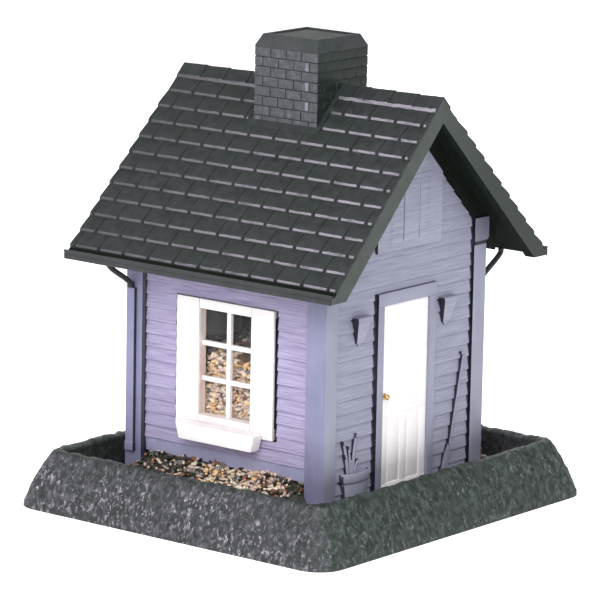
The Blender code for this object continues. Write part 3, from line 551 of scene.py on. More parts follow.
skirt = {"low": 35.2, "high": 44.35, "top": -1.75, "bottom": -2.75}
shape = bmesh.new()
for k in range(24):
    left = -64.2 + 128.0 * k / 24
    right = -64.2 + 128.0 * (k + 1) / 24
    face = [
        shape.verts.new((left, skirt["low"], skirt["bottom"])), shape.verts.new((right, skirt["low"], skirt["bottom"])),
        shape.verts.new((right, skirt["high"], skirt["top"])), shape.verts.new((left, skirt["high"], skirt["top"])),
    ]
    shape.faces.new(face)
bmesh.ops.remove_doubles(shape, verts=shape.verts, dist=0.001)
bmesh.ops.solidify(shape, geom=list(shape.faces), thickness=0.15)
addPiece("eave", "skirt_SIDE", shape, ["skirt"])

gableSlope = 247.4
shape = bmesh.new()
clapboardsInto(shape, -68.5, -32.0, 14.0, siding["gableTop"], 7.0)
clapboardsInto(shape, 29.3, 65.8, 14.0, siding["gableTop"], 7.0)
clapboardsInto(shape, -32.0, 29.3, 147.2, siding["gableTop"], 7.0)
for end in (-1, 1):
    normal = Vector((end, 1, 0)).normalized()
    cutAway(shape, Vector((0, gableSlope, 0)), normal)
addPiece("gable", "siding_SIDE", shape, ["doorSiding"], smooth=28)
print("siding laid")

# ---------------------------------------------------------------- corner boards and trim

board = {"skin": 0.16, "foot": 12.6, "bevel": 0.12, "top": 163.8}


def skinInto(shape, left, right, low, high, base=0.0, proud=None):
    top = base + (board["skin"] if proud is None else proud)
    return boxInto(shape, (left, low, base + 0.02), (right, high, top))


shape = bmesh.new()
skinInto(shape, -wallX - 0.12, -66.3, board["foot"], board["top"])
skinInto(shape, 64.1, wallX + 0.12, board["foot"], board["top"])
soften(shape, board["bevel"])
addPiece("eave", "corner_boards_SIDE", shape, ["windowTrim"])

shape = bmesh.new()
for low, high in ((-wallY - 0.12, -69.2), (67.6, wallY + 0.12)):
    skinInto(shape, low, high, board["foot"], board["top"])
soften(shape, board["bevel"])
addPiece("gable", "corner_boards_SIDE", shape, ["doorTrim"])

doorTrim = {"inner": 23.1, "outer": 29.2, "top": 138.5, "head": 146.0, "base": -0.2, "proud": 0.35, "cap": 1.1}
shape = bmesh.new()
for end in (-1, 1):
    near, far = sorted((end * doorTrim["inner"], end * doorTrim["outer"]))
    skinInto(shape, near, far, board["foot"], doorTrim["top"], doorTrim["base"], doorTrim["proud"])
skinInto(
    shape, -doorTrim["outer"], doorTrim["outer"], doorTrim["top"] + 0.1, doorTrim["head"],
    doorTrim["base"], doorTrim["proud"] + 0.1,
)
for low, high in ((-24.0, -23.05), (23.05, 24.0)):
    boxInto(shape, (low, board["foot"], -2.0), (high, doorTrim["top"], -0.1))
boxInto(shape, (-23.0, 138.4, -2.0), (23.0, 139.3, -0.1))
boxInto(shape, (-doorTrim["outer"] - 0.6, doorTrim["head"], -2.0), (doorTrim["outer"] + 0.6, doorTrim["head"] + 0.6, 0.6))
soften(shape, 0.16)
bmesh.ops.recalc_face_normals(shape, faces=shape.faces)
# Faces turned to -u and the top of the head get bare: painted shade on the trim's sides and a painted shadow line along
# the head; faces next to the door keep the trim paint.
shadeFacesAway(shape, None, 1, Vector((-1, 0, 0)))
for face in shape.faces:
    middle = face.calc_center_median()
    if abs(middle.x) < doorTrim["inner"] + 1.2:
        face.material_index = 0
    elif face.normal.y > 0.8 and middle.y > doorTrim["head"] + 0.4:
        face.material_index = 1
addPiece("gable", "door_trim_SIDE", shape, ["doorTrim", "bare"])

# ---------------------------------------------------------------- window

window = {
    "half": 20.7, "low": 65.2, "high": 132.0, "wall": 1.9, "front": -2.3, "back": -7.2, "head": 138.0,
    "sill": 59.4, "bar": 3.0, "barFront": -3.8, "barBack": -6.8,
}
half = window["half"]
shape = bmesh.new()
boxInto(shape, (-half + 0.6, window["high"], -2.4), (half - 0.2, window["head"], 0.02))
boxInto(shape, (-half + 0.2, window["sill"], -2.4), (half - 0.2, window["low"], 0.02))
soften(shape, 0.3)
reveal = bmesh.new()
# The side jambs take the reveal colour, white plastic with painted shade; the head and sill jambs stay white.
for end in (-1, 1):
    near, far = sorted((end * half, end * (half + window["wall"])))
    boxInto(reveal, (near, window["low"] - window["wall"], window["back"]), (far, window["high"] + window["wall"], -2.2), 1)
for low, high in ((window["low"] - window["wall"], window["low"]), (window["high"], window["high"] + window["wall"])):
    boxInto(reveal, (-half, low, window["back"]), (half, high, -2.3))
mesh = bpy.data.meshes.new("part")
reveal.to_mesh(mesh)
reveal.free()
shape.from_mesh(mesh)
bars = bmesh.new()
barHalf = window["bar"] / 2
boxInto(bars, (-barHalf, window["low"] - 0.5, window["barBack"]), (barHalf, window["high"] + 0.5, window["barFront"]))
third = (window["high"] - window["low"]) / 3
for k in (1, 2):
    middle = window["low"] + k * third
    boxInto(bars, (-half - 0.5, middle - barHalf, window["barBack"] + 0.1), (half + 0.5, middle + barHalf, window["barFront"] - 0.15))
soften(bars, 0.45, 3)
bars.to_mesh(mesh)
bars.free()
shape.from_mesh(mesh)
carrier = frameHigh.x - 0.1
# Carriers behind the insert show in the gaps round it: top and bottom take the shaded reveal colour, the sides take
# bare, painted shade in the gaps.
for low, high in ((57.7, 64.4), (133.2, 137.7)):
    boxInto(shape, (-38.0, low, -5.2), (38.0, high, -2.25), 1)
for end in (-1, 1):
    near, far = sorted((end * (half + 0.3), end * carrier))
    boxInto(shape, (near, 58.0, -4.6), (far, 137.5, -3.4), 2)
addPiece("eave", "window_frame_SIDE", shape, ["white", "reveal", "bare"], nodes=["window_frame_SIDE"])

shutter = {"width": 17.6, "low": 57.4, "high": 138.0, "thick": 2.0, "edge": 0.28}
for hand, end in (("left", -1), ("right", 1)):
    shape = bmesh.new()
    near, far = sorted((end * half, end * (half + shutter["width"])))
    boxInto(shape, (near + 0.02, shutter["low"], -shutter["thick"]), (far, shutter["high"], 0.03))
    soften(shape, shutter["edge"], 3)
    addPiece("eave", "shutter_SIDE_" + hand, shape, ["white"], nodes=["shutter_SIDE_" + hand])

planter = {"top": 60.4, "low": 50.3, "topHalf": 31.2, "lowHalf": 28.6, "topOut": 8.5, "lowOut": 8.3, "wall": 1.2, "gap": 0.3}


def planterVerts(shape, shrink, low, high):
    def ring(v, share):
        reach = planter["lowHalf"] + share * (planter["topHalf"] - planter["lowHalf"]) - shrink
        out = planter["lowOut"] + share * (planter["topOut"] - planter["lowOut"]) - shrink
        back = planter["gap"] + shrink
        return [shape.verts.new(p) for p in ((-reach, v, back), (reach, v, back), (reach, v, planter["gap"] + out), (-reach, v, planter["gap"] + out))]
    height = planter["top"] - planter["low"]
    return ring(low, (low - planter["low"]) / height), ring(high, (high - planter["low"]) / height)


shape = bmesh.new()
outerLow, outerTop = planterVerts(shape, 0.0, planter["low"], planter["top"])
innerLow, innerTop = planterVerts(shape, planter["wall"], planter["low"] + planter["wall"], planter["top"])
for low, top in ((outerLow, outerTop), (innerLow, innerTop)):
    for i in range(4):
        j = (i + 1) % 4
        shape.faces.new((low[i], low[j], top[j], top[i]))
shape.faces.new(outerLow)
shape.faces.new(innerLow)
for i in range(4):
    j = (i + 1) % 4
    shape.faces.new((outerTop[i], outerTop[j], innerTop[j], innerTop[i]))
bmesh.ops.recalc_face_normals(shape, faces=shape.faces)
soften(shape, 0.3, 3, 50)
addPiece("eave", "window_box_SIDE", shape, ["white"], nodes=["window_box_SIDE"])
print("windows built")

# ---------------------------------------------------------------- door

door = {
    "half": 22.9, "low": 20.0, "high": 138.2, "face": -1.4, "back": -6.2, "sink": 0.5, "stile": 6.2, "middle": 5.6,
    "rows": ((26.0, 69.0), (73.0, 104.5), (108.5, 131.0)),
}
shape = bmesh.new()
boxInto(shape, (-door["half"], door["low"], door["back"] + 1.0), (door["half"], door["high"], door["face"] - door["sink"]))
boxInto(shape, (-door["half"] - 2.2, door["low"] - 2.2, door["back"]), (door["half"] + 2.2, door["high"] + 2.2, door["back"] + 1.2))
rails = [door["low"]]
for low, high in door["rows"]:
    rails += [low, high]
rails.append(door["high"])
for low, high in zip(rails[0::2], rails[1::2]):
    boxInto(shape, (-door["half"], low, door["face"] - 1.0), (door["half"], high, door["face"]))
columns = (
    (-door["half"], -door["half"] + door["stile"]), (-door["middle"] / 2, door["middle"] / 2),
    (door["half"] - door["stile"], door["half"]),
)
for near, far in columns:
    for low, high in door["rows"]:
        boxInto(shape, (near, low - 0.01, door["face"] - 1.0), (far, high + 0.01, door["face"]))
soften(shape, 0.22, 2)
for end in (-1, 1):
    for low, high in door["rows"]:
        near, far = sorted((end * (door["middle"] / 2 + 1.9), end * (door["half"] - door["stile"] - 1.9)))
        field = bmesh.new()
        boxInto(field, (near, low + 1.9, door["face"] - 1.1), (far, high - 1.9, door["face"] - 0.15))
        soften(field, 0.5, 2)
        field.to_mesh(mesh)
        field.free()
        shape.from_mesh(mesh)
addPiece("gable", "door_SIDE", shape, ["white"], nodes=["door_SIDE"], smooth=30)

knob = {"u": -19.9, "v": 81.5, "radius": 1.7}
r = knob["radius"]
profile = [
    (1.25 * r, 0.0), (1.25 * r, 0.15 * r), (1.05 * r, 0.28 * r), (0.42 * r, 0.34 * r), (0.40 * r, 0.75 * r), (0.75 * r, 0.95 * r),
    (1.0 * r, 1.3 * r), (1.02 * r, 1.55 * r), (0.85 * r, 1.9 * r), (0.5 * r, 2.12 * r), (0.12 * r, 2.2 * r),
]
shape = bmesh.new()
turnInto(shape, profile, 24, (knob["u"], knob["v"], door["face"] + 0.05))
addPiece("gable", "door_knob_SIDE", shape, ["brass"], nodes=["door_knob_SIDE"], smooth=60)
print("doors built")

# ---------------------------------------------------------------- gable reliefs

shadowSide = Vector((-1, 0, 0))
relief = bmesh.new()


def blockInto(shape, low, high, backLow, frontLow, frontHigh, narrow=0.0, width=0.3):
    # A block whose front leans: frontLow and frontHigh are how far it stands out at its foot and its top.
    part = bmesh.new()
    verts = boxInto(part, (low[0], low[1], backLow), (high[0], high[1], frontHigh))
    middle = (low[0] + high[0]) / 2
    for vert in verts:
        if vert.co.y < (low[1] + high[1]) / 2:
            vert.co.x = middle + (vert.co.x - middle) * (1 - narrow)
            if vert.co.z > backLow + 0.01:
                vert.co.z = frontLow
    soften(part, width, 2)
    part.to_mesh(mesh)
    part.free()
    shape.from_mesh(mesh)


lantern = {"left": -47.0, "right": 39.8, "low": 119.5, "high": 136.0, "half": 6.2, "out": 4.4, "foot": 0.5, "back": -2.3}
for hand in ("left", "right"):
    u = lantern[hand]
    blockInto(
        relief, (u - lantern["half"], lantern["low"]), (u + lantern["half"], lantern["high"] - 2.6),
        lantern["back"], lantern["foot"], lantern["out"] - 0.7, 0.42, 0.35,
    )
    blockInto(
        relief, (u - lantern["half"] - 0.8, lantern["high"] - 2.6), (u + lantern["half"] + 0.8, lantern["high"]),
        lantern["back"], lantern["out"], lantern["out"] - 0.5, 0.0, 0.3,
    )
    blockInto(relief, (u - 2.0, lantern["low"] - 1.6), (u + 2.0, lantern["low"] + 0.3), lantern["back"], -0.4, -0.1, 0.3, 0.2)

loft = {"half": 32.0, "low": 172.0, "top": 219.5, "base": 0.6}
reach = loft["half"]
outline = [
    (-reach, loft["low"]), (reach, loft["low"]), (reach, gableSlope - reach - 0.3), (0.0, gableSlope - 0.3),
    (-reach, gableSlope - reach - 0.3),
]
peak = bmesh.new()
prismInto(peak, outline, -2.4, loft["base"])
soften(peak, 0.2)
for low, high, proud in ((-19.5, -7.4, 0.12), (-6.6, 7.2, 0.35), (9.2, 19.5, 0.2)):
    front = loft["base"] + proud
    blockInto(peak, (low, 177.0), (high, 214.0), loft["base"] - 0.5, front, front, 0.0, 0.1)
for k in range(1, 9):
    v = 177.0 + 37.0 * k / 9
    for low, high in ((-18.2, -8.8), (10.6, 18.4)):
        blockInto(peak, (low, v - 1.4), (high, v + 1.0), loft["base"] - 0.3, loft["base"] + 0.28, loft["base"] + 0.22, 0.0, 0.08)
blockInto(peak, (-21.5, 215.2), (21.5, 217.0), loft["base"] - 0.5, loft["base"] + 0.3, loft["base"] + 0.3, 0.0, 0.15)
for end in (-1, 1):
    cutAway(peak, Vector((0, gableSlope, 0)), Vector((end, 1, 0)).normalized())
bmesh.ops.recalc_face_normals(peak, faces=peak.faces)
# Faces turned to -u take bare: painted shade on the boards' sides.
shadeFacesAway(peak, None, 1, shadowSide)
addPiece("gable", "loft_boards_SIDE", peak, ["doorSiding", "bare"])

pot = {"u": -48.7, "low": 13.5, "rimLow": 34.6, "high": 40.0, "rim": 15.1, "body": 13.4, "foot": 9.5, "deep": 0.42}


def halfRoundInto(shape, rows, steps=18):
    rings = []
    for radius, v in rows:
        ring = []
        for k in range(steps + 1):
            angle = math.pi * k / steps
            ring.append(shape.verts.new((pot["u"] - radius * math.cos(angle), v, -2.2 + pot["deep"] * radius * math.sin(angle))))
        rings.append(ring)
    for lower, upper in zip(rings, rings[1:]):
        for k in range(steps):
            shape.faces.new((lower[k], lower[k + 1], upper[k + 1], upper[k]))
    shape.faces.new(rings[-1])
    shape.faces.new(list(reversed(rings[0])))


bowl = bmesh.new()
halfRoundInto(bowl, [
    (pot["foot"], pot["low"]), (11.8, 24.0), (pot["body"], 33.0), (pot["body"] - 0.4, 33.6), (pot["rim"] - 0.4, 34.2),
    (pot["rim"], 35.0), (pot["rim"], 39.2), (pot["rim"] - 0.6, 40.0), (pot["rim"] - 1.8, 40.1), (pot["rim"] - 2.2, 39.0),
])
leaves = (
    ((-56.0, 39.0), (-62.8, 61.0), 1.7), ((-51.8, 39.0), (-48.6, 64.0), 1.7), ((-57.2, 39.0), (-60.9, 52.5), 1.2),
    ((-53.6, 39.0), (-54.8, 51.0), 1.2), ((-50.4, 39.0), (-46.6, 47.5), 1.1), ((-54.2, 39.0), (-57.2, 57.0), 1.4),
)
for foot, tip, width in leaves:
    part = bmesh.new()
    axis = Vector((tip[0] - foot[0], tip[1] - foot[1], 0))
    across = Vector((axis.y, -axis.x, 0)).normalized()
    rows = []
    for k in range(9):
        share = k / 8
        spread = width * (0.30 + 0.5 * math.sin(math.pi * min(1.0, 0.15 + share * 0.95)) + 0.5 * share * (1 - share))
        if k == 8:
            spread = 0.12
        sway = across * (0.9 * math.sin(share * 2.6) * (1 if tip[0] < foot[0] else -1))
        centre = Vector((foot[0], foot[1], 0)) + axis * share + sway
        rows.append([
            part.verts.new(centre - across * spread + Vector((0, 0, -2.3))),
            part.verts.new(centre - across * spread * 0.9 + Vector((0, 0, 0.25))),
            part.verts.new(centre + Vector((0, 0, 0.75))),
            part.verts.new(centre + across * spread * 0.9 + Vector((0, 0, 0.25))),
            part.verts.new(centre + across * spread + Vector((0, 0, -2.3))),
        ])
    for lower, upper in zip(rows, rows[1:]):
        for k in range(4):
            part.faces.new((lower[k], upper[k], upper[k + 1], lower[k + 1]))
    part.faces.new(rows[-1])
    part.faces.new(rows[0])
    part.to_mesh(mesh)
    part.free()
    bowl.from_mesh(mesh)
bmesh.ops.recalc_face_normals(bowl, faces=bowl.faces)
# Faces turned to -u and downwards take bare: painted shade on the sides of the pot and leaves and under the rim.
shadeFacesAway(bowl, None, 1, Vector((-1, -0.15, -0.25)).normalized())
addPiece("gable", "plant_pot_SIDE", bowl, ["doorTrim", "bare"], smooth=50)

tool = {"top": (58.4, 97.0), "neck": (45.6, 39.5), "blade": (38.6, 14.0), "thick": 0.7, "out": 0.75}


def barInto(shape, start, end, startWidth, endWidth, back, front, round=0.25):
    axis = Vector((end[0] - start[0], end[1] - start[1]))
    across = Vector((axis.y, -axis.x)).normalized()
    part = bmesh.new()
    outline = [
        Vector(start) - across * startWidth, Vector(start) + across * startWidth,
        Vector(end) + across * endWidth, Vector(end) - across * endWidth,
    ]
    prismInto(part, [(p.x, p.y) for p in outline], back, front)
    bmesh.ops.recalc_face_normals(part, faces=part.faces)
    soften(part, round, 2)
    part.to_mesh(mesh)
    part.free()
    shape.from_mesh(mesh)


barInto(relief, tool["top"], tool["neck"], tool["thick"], tool["thick"], -2.3, tool["out"])
barInto(relief, (56.3, 97.2), (60.5, 96.2), 0.9, 0.9, -2.3, tool["out"])
barInto(relief, (45.9, 40.6), (44.7, 35.6), 1.3, 2.9, -2.3, tool["out"] - 0.3, 0.3)
barInto(relief, (44.9, 36.4), tool["blade"], 2.9, 4.4, -2.3, tool["out"] - 0.45, 0.4)
bmesh.ops.recalc_face_normals(relief, faces=relief.faces)
# Faces turned to -u take bare: painted shade on the sides of the lanterns and the shovel.
shadeFacesAway(relief, None, 1, shadowSide)
addPiece("gable", "wall_reliefs_SIDE", relief, ["doorSiding", "bare"])
print("reliefs built")

# ---------------------------------------------------------------- downspouts and elbows

spoutLow, spoutHigh = cadBox("downspout_front")
spoutFront = -wallY - spoutLow.y
shape = bmesh.new()
foot = spoutLow.z + 4.5
boxInto(shape, (spoutLow.x + 0.3, foot, 0.05), (spoutHigh.x - 0.3, spoutHigh.z, spoutFront - 0.5))
boxInto(shape, (spoutLow.x, spoutLow.z, 0.05), (spoutHigh.x, foot + 1.0, spoutFront))
soften(shape, 0.4, 3)
bmesh.ops.recalc_face_normals(shape, faces=shape.faces)
# Faces turned to +u take bare: painted shade on the downspout's side.
shadeFacesAway(shape, None, 1, Vector((1, 0, 0)))
addPiece("eave", "downspout_SIDE", shape, ["windowTrim", "bare"], nodes=["downspout_SIDE"])

elbow = {"steps": 14, "rings": 26}
elbowLow, elbowHigh = cadBox("gutter_elbow_front")
across = (elbowLow.x + elbowHigh.x) / 2
elbow["radius"] = (elbowHigh.x - elbowLow.x) / 2 - 0.05
start = Vector((across, elbowLow.y + elbow["radius"], elbowHigh.z - 0.2))
end = Vector((across, elbowHigh.y - elbow["radius"], elbowLow.z))
route = []
for k in range(elbow["rings"] + 1):
    share = k / elbow["rings"]
    ease = min(1.0, max(0.0, (share - 0.12) / 0.76))
    ease = ease * ease * (3 - 2 * ease) * 0.35 + ease * 0.65
    route.append(Vector((across, start.y + (end.y - start.y) * ease, start.z + (end.z - start.z) * share)))
shape = bmesh.new()
rings = []
for k, point in enumerate(route):
    ahead = route[min(k + 1, elbow["rings"])] - route[max(k - 1, 0)]
    ahead.normalize()
    sideways = Vector((1, 0, 0))
    upward = ahead.cross(sideways)
    radius = elbow["radius"] * (1.1 if k < 2 else 1.0) * (1.22 if k > elbow["rings"] - 4 else 1.0)
    rings.append([
        shape.verts.new(point + (sideways * math.cos(a) + upward * math.sin(a)) * radius)
        for a in (2 * math.pi * j / elbow["steps"] for j in range(elbow["steps"]))
    ])
for lower, upper in zip(rings, rings[1:]):
    for i in range(elbow["steps"]):
        j = (i + 1) % elbow["steps"]
        shape.faces.new((lower[i], lower[j], upper[j], upper[i]))
shape.faces.new(rings[0])
shape.faces.new(rings[-1])
sides["turned"] = ("front", "back")
wallPlaces["turned"] = Matrix.Identity(4)
addPiece("turned", "gutter_elbow_SIDE", shape, ["gutter"], "roof", ["gutter_elbow_SIDE"], smooth=50)

# ---------------------------------------------------------------- roof

roof = {
    "ridge": roofHigh.z - 6.0, "half": roofHigh.x, "draft": 3.1, "rise": 2.35, "pitch": 8.8, "rows": 11, "first": 251.1,
    "tab": 20.0, "joint": -1.5, "notch": 0.5, "bare": 1.2, "cap": 7.6, "capRise": 1.5, "clear": 28.2, "step": 2.5, "eave": 109.7,
}
roofBase = cadBox("roof_shell")[0].z


def roofReach(z):
    share = (z - roofBase) / (roof["ridge"] - roofBase)
    return roof["half"] - roof["draft"] * share


def courseInto(shape, row):
    middle = roof["first"] - roof["pitch"] * row
    out = roof["ridge"] + 1.2 - middle
    offset = roof["joint"] + (roof["tab"] / 2 if row % 2 else 0.0)
    reach = roofReach(middle)
    first = math.floor((-reach - offset) / roof["tab"])
    for k in range(first, 8):
        left = max(offset + k * roof["tab"] + roof["notch"] / 2, -reach)
        right = min(offset + (k + 1) * roof["tab"] - roof["notch"] / 2, reach)
        pieces = [(left, right)]
        if out < roof["clear"]:
            pieces = [(left, min(right, -roof["clear"])), (max(left, roof["clear"]), right)]
        for low, high in pieces:
            if high - low > 0.8:
                tabInto(shape, low, high, out, middle, row * 31 + k)


def tabInto(shape, left, right, out, middle, seed):
    rise = roof["rise"] / 2
    count = max(1, round((right - left) / roof["step"]))
    jitter = wobble(seed * 1.7, 0.3, 5.0, 0.35)
    columns = []
    ends = min(roof["bare"], (right - left) / 3)
    stops = [left] + [left + ends + (right - left - 2 * ends) * k / count for k in range(count + 1)] + [right]
    for u in stops:
        rag = wobble(u * 0.45, seed * 0.37, 2.0, 0.30) + jitter
        lift = wobble(u * 0.30, seed * 0.61, 9.0, 0.28)
        rows = (
            (out - roof["pitch"] - 0.6, middle + roof["pitch"] - rise + 0.55),
            (out - roof["pitch"] * 0.55, middle + roof["pitch"] * 0.55 - rise * 0.1 + 0.15 + lift * 0.5),
            (out - roof["pitch"] * 0.12, middle + roof["pitch"] * 0.12 + rise * 0.8 + lift),
            (out + rag - 0.25, middle + rise - 0.12 + lift),
            (out + rag + 0.12, middle + rise - 0.5 + lift),
            (out + rag + 0.2, middle - rise + 0.8),
            (out + rag * 0.5 - 0.1, middle - rise - 0.25),
        )
        columns.append([shape.verts.new((u, -y, z)) for y, z in rows])
    for k, (near, far) in enumerate(zip(columns, columns[1:])):
        for i in range(len(near) - 1):
            face = shape.faces.new((near[i], near[i + 1], far[i + 1], far[i]))
            # The butt faces take the pale edge: dry-brushed paint and painted highlight.
            face.material_index = 1 if i in (3, 4) and 0 < k < count + 1 else 0
        shape.faces.new((near[-1], near[0], far[0], far[-1]))
    shape.faces.new(columns[0])
    shape.faces.new(list(reversed(columns[-1])))


shape = bmesh.new()
for row in range(roof["rows"]):
    courseInto(shape, row)
addPiece("turned", "shingles_SIDE", shape, ["shingle", "paleEdgeAndHighlight"], "roof", smooth=30, recalc=True)

# The ridge cap: short lengths that overlap along the ridge.
shape = bmesh.new()
capReach = roofReach(roof["ridge"])
for low, high in ((-capReach, -roof["clear"]), (roof["clear"], capReach)):
    count = 4
    for k in range(count):
        left = low + (high - low) * k / count
        right = low + (high - low) * (k + 1) / count + 0.4
        right = min(right, high)
        columns = []
        for j in range(9):
            u = left + (right - left) * j / 8
            lift = roof["capRise"] + 0.5 * (j / 8) + wobble(u * 0.3, k, 4.0, 0.25)
            edge = roof["cap"] + wobble(u * 0.25, k * 2.0, 6.0, 0.35)
            top = roof["ridge"]
            half = [
                (edge - 0.2, top - edge + 0.2), (edge + 0.25, top - edge + 0.15), (edge + 0.1, top - edge + lift + 0.55),
                (edge - 0.5, top - edge + 0.55 + lift), (2.2, top - 2.2 + lift), (0.8, top - 0.7 + lift),
            ]
            across = [(-y, z) for y, z in half] + [(y, z) for y, z in reversed(half)]
            columns.append([shape.verts.new((u, y, z)) for y, z in across])
        for near, far in zip(columns, columns[1:]):
            count2 = len(near)
            for i in range(count2 - 1):
                face = shape.faces.new((near[i], near[i + 1], far[i + 1], far[i]))
                # The cap's lower edges take the pale edge: dry-brushed paint and painted highlight.
                if i in (1, count2 - 3):
                    face.material_index = 1
        shape.faces.new(columns[0])
        shape.faces.new(columns[-1])
addPiece("all", "ridge_cap", shape, ["shingle", "paleEdgeAndHighlight"], "roof", smooth=34)

# Rake faces, gutters and the flashing around the chimney.
shape = bmesh.new()
skin = 0.12
slopeFoot = roof["ridge"] - 159.6
rakeIn = 14.6
outline = [
    (-109.6, roofBase + 0.1), (-109.6, 159.6), (-slopeFoot, 159.6), (0.0, roof["ridge"]), (slopeFoot, 159.6), (109.6, 159.6),
    (109.6, roofBase + 0.1), (roof["ridge"] - rakeIn - roofBase - 0.1, roofBase + 0.1), (0.0, roof["ridge"] - rakeIn),
    (-(roof["ridge"] - rakeIn - roofBase - 0.1), roofBase + 0.1),
]
verts = prismInto(shape, outline, 0.0, 1.0)
for vert in verts:
    y, z, depth = vert.co
    vert.co = (roofReach(z) + 0.02 + depth * skin, y, z)
soften(shape, 0.05, 1)
addPiece("turned", "rake_face_SIDE", shape, ["rake"], "roof")

# Blocks on the roof's seat, over the corner boards; their dark lavender is painted shade.
shape = bmesh.new()
for end in (-1, 1):
    outline = [
        (67.6, 166.4), (79.7, 166.4), (80.5, 166.8), (81.1, 167.6), (81.3, 168.6), (81.3, roof["ridge"] - 4.6 - 81.3),
        (80.2, 181.0), (67.6, 181.0),
    ]
    outline = [(end * y, z) for y, z in outline]
    prismInto(shape, outline if end > 0 else outline[::-1], wallX + 0.3, wallX + 1.1)
for vert in shape.verts:
    y, z, x = vert.co
    vert.co = (x, y, z)
soften(shape, 0.3, 2)
addPiece("turned", "seat_blocks_SIDE", shape, ["block"], "roof")

gutter = {"reach": 104.9}
shape = bmesh.new()
profile = [
    (106.6, 160.0), (108.4, 161.1), (109.7, 161.35), (110.3, 160.9), (110.35, 160.2), (109.95, 159.7), (109.85, 158.9),
    (110.0, 158.4), (110.2, 157.9), (110.05, 157.2), (109.9, 156.6), (110.0, 155.9), (109.75, 155.5), (109.0, 155.55), (108.9, 158.5),
]
columns = []
for k in range(85):
    u = -gutter["reach"] + 2 * gutter["reach"] * k / 84
    sway = wobble(u * 0.06, 1.0, 3.0, 0.22)
    columns.append([shape.verts.new((u, -y - sway * 0.4, z + sway * 0.5)) for y, z in profile])
for near, far in zip(columns, columns[1:]):
    for i in range(len(profile) - 1):
        face = shape.faces.new((near[i], near[i + 1], far[i + 1], far[i]))
        # The lip's top faces take the lighter slot: a painted highlight along the gutter's edge.
        face.material_index = 1 if i in (1, 2) else 0
shape.faces.new(columns[0])
shape.faces.new(columns[-1])
addPiece("turned", "gutter_SIDE", shape, ["gutter", "gutterLip"], "roof", smooth=45)

chimney = {
    "half": chimneyHigh.x, "low": 236.0, "high": 288.1, "top": chimneyHigh.z, "bevelIn": 3.2, "courses": 8, "across": 4,
    "mortar": 0.55, "proud": 0.5,
}
shape = bmesh.new()
inner = chimney["half"] + 0.35
outer = chimney["half"] + 3.6
for end in (-1, 1):
    for near, far, low, high in (
        (-outer, outer, inner, outer), (-outer, -inner, 0.0, inner), (inner, outer, 0.0, inner)
    ):
        steps = 6
        for k in range(steps):
            left = near + (far - near) * k / steps
            right = near + (far - near) * (k + 1) / steps
            points = []
            for u, y in ((left, low), (right, low), (right, high), (left, high)):
                points.append((u, end * y, roof["ridge"] - y))
            bottom = [shape.verts.new((u, y, z + 0.1)) for u, y, z in points]
            lid = [shape.verts.new((u, y, z + 1.35)) for u, y, z in points]
            shape.faces.new(bottom)
            shape.faces.new(lid)
            for i in range(4):
                j = (i + 1) % 4
                shape.faces.new((bottom[i], bottom[j], lid[j], lid[i]))
bmesh.ops.remove_doubles(shape, verts=shape.verts, dist=0.01)
addPiece("all", "flashing", shape, ["shingle"], "roof", smooth=30)
print("roof built")

# ---------------------------------------------------------------- chimney

course = (chimney["high"] - 239.3) / chimney["courses"]
brickWide = 2 * chimney["half"] / chimney["across"]
shape = bmesh.new()
for face in range(4):
    spin = Matrix.Rotation(face * math.pi / 2, 4, "Z")
    for row in range(chimney["courses"]):
        low = 239.3 + row * course
        shift = 0.0 if row % 2 else brickWide / 2
        edges = [-chimney["half"]]
        u = -chimney["half"] + (shift or brickWide)
        while u < chimney["half"] - 0.5:
            edges.append(u)
            u += brickWide
        edges.append(chimney["half"])
        for left, right in zip(edges, edges[1:]):
            part = bmesh.new()
            gap = chimney["mortar"] / 2
            proud = chimney["proud"] + wobble(left * 0.9, row * 1.3, face, 0.22)
            leftGap = gap if left > -chimney["half"] + 0.1 else -0.25
            rightGap = gap if right < chimney["half"] - 0.1 else -0.25
            boxInto(
                part, (left + leftGap, -chimney["half"] - proud, low + gap),
                (right - rightGap, -chimney["half"] + 0.05, low + course - gap),
            )
            bmesh.ops.subdivide_edges(part, edges=[e for e in part.edges if abs(e.verts[0].co.x - e.verts[1].co.x) > 2], cuts=3)
            for vert in part.verts:
                if vert.co.y < -chimney["half"] - 0.1:
                    vert.co.y += wobble(vert.co.x * 0.6, vert.co.z * 0.6, face + 3.0, 0.16)
            # Corner bricks in alternate courses take the pale slot: a painted highlight where they catch the light.
            if face in (0, 2) and not row % 2 and 250 < low < 278 and abs(right - 18.3) < 0.5:
                for side in part.faces:
                    middle = side.calc_center_median()
                    if middle.x > 15.2 and middle.y < -chimney["half"] - 0.2:
                        side.material_index = 1
            soften(part, 0.22, 2)
            bmesh.ops.transform(part, matrix=spin, verts=part.verts)
            buried = [vert for vert in part.verts if vert.co.z < roof["ridge"] + 1.6 - abs(vert.co.y)]
            if len(buried) == len(part.verts):
                bmesh.ops.delete(part, geom=buried, context="VERTS")
            for vert in part.verts:
                vert.co.z = max(vert.co.z, roof["ridge"] + 1.4 - abs(vert.co.y))
            part.to_mesh(mesh)
            part.free()
            shape.from_mesh(mesh)
inner = chimney["half"] - chimney["bevelIn"]
crown = bmesh.new()
rows = (
    (chimney["half"] + 0.12, 287.6), (chimney["half"] + 0.45, 288.3), (chimney["half"] + 0.3, 288.9), (inner + 0.35, 295.2),
    (inner + 0.05, 295.75), (inner - 0.8, 295.85), (inner - 2.4, 295.8), (inner - 2.7, 294.9),
)
rings = []
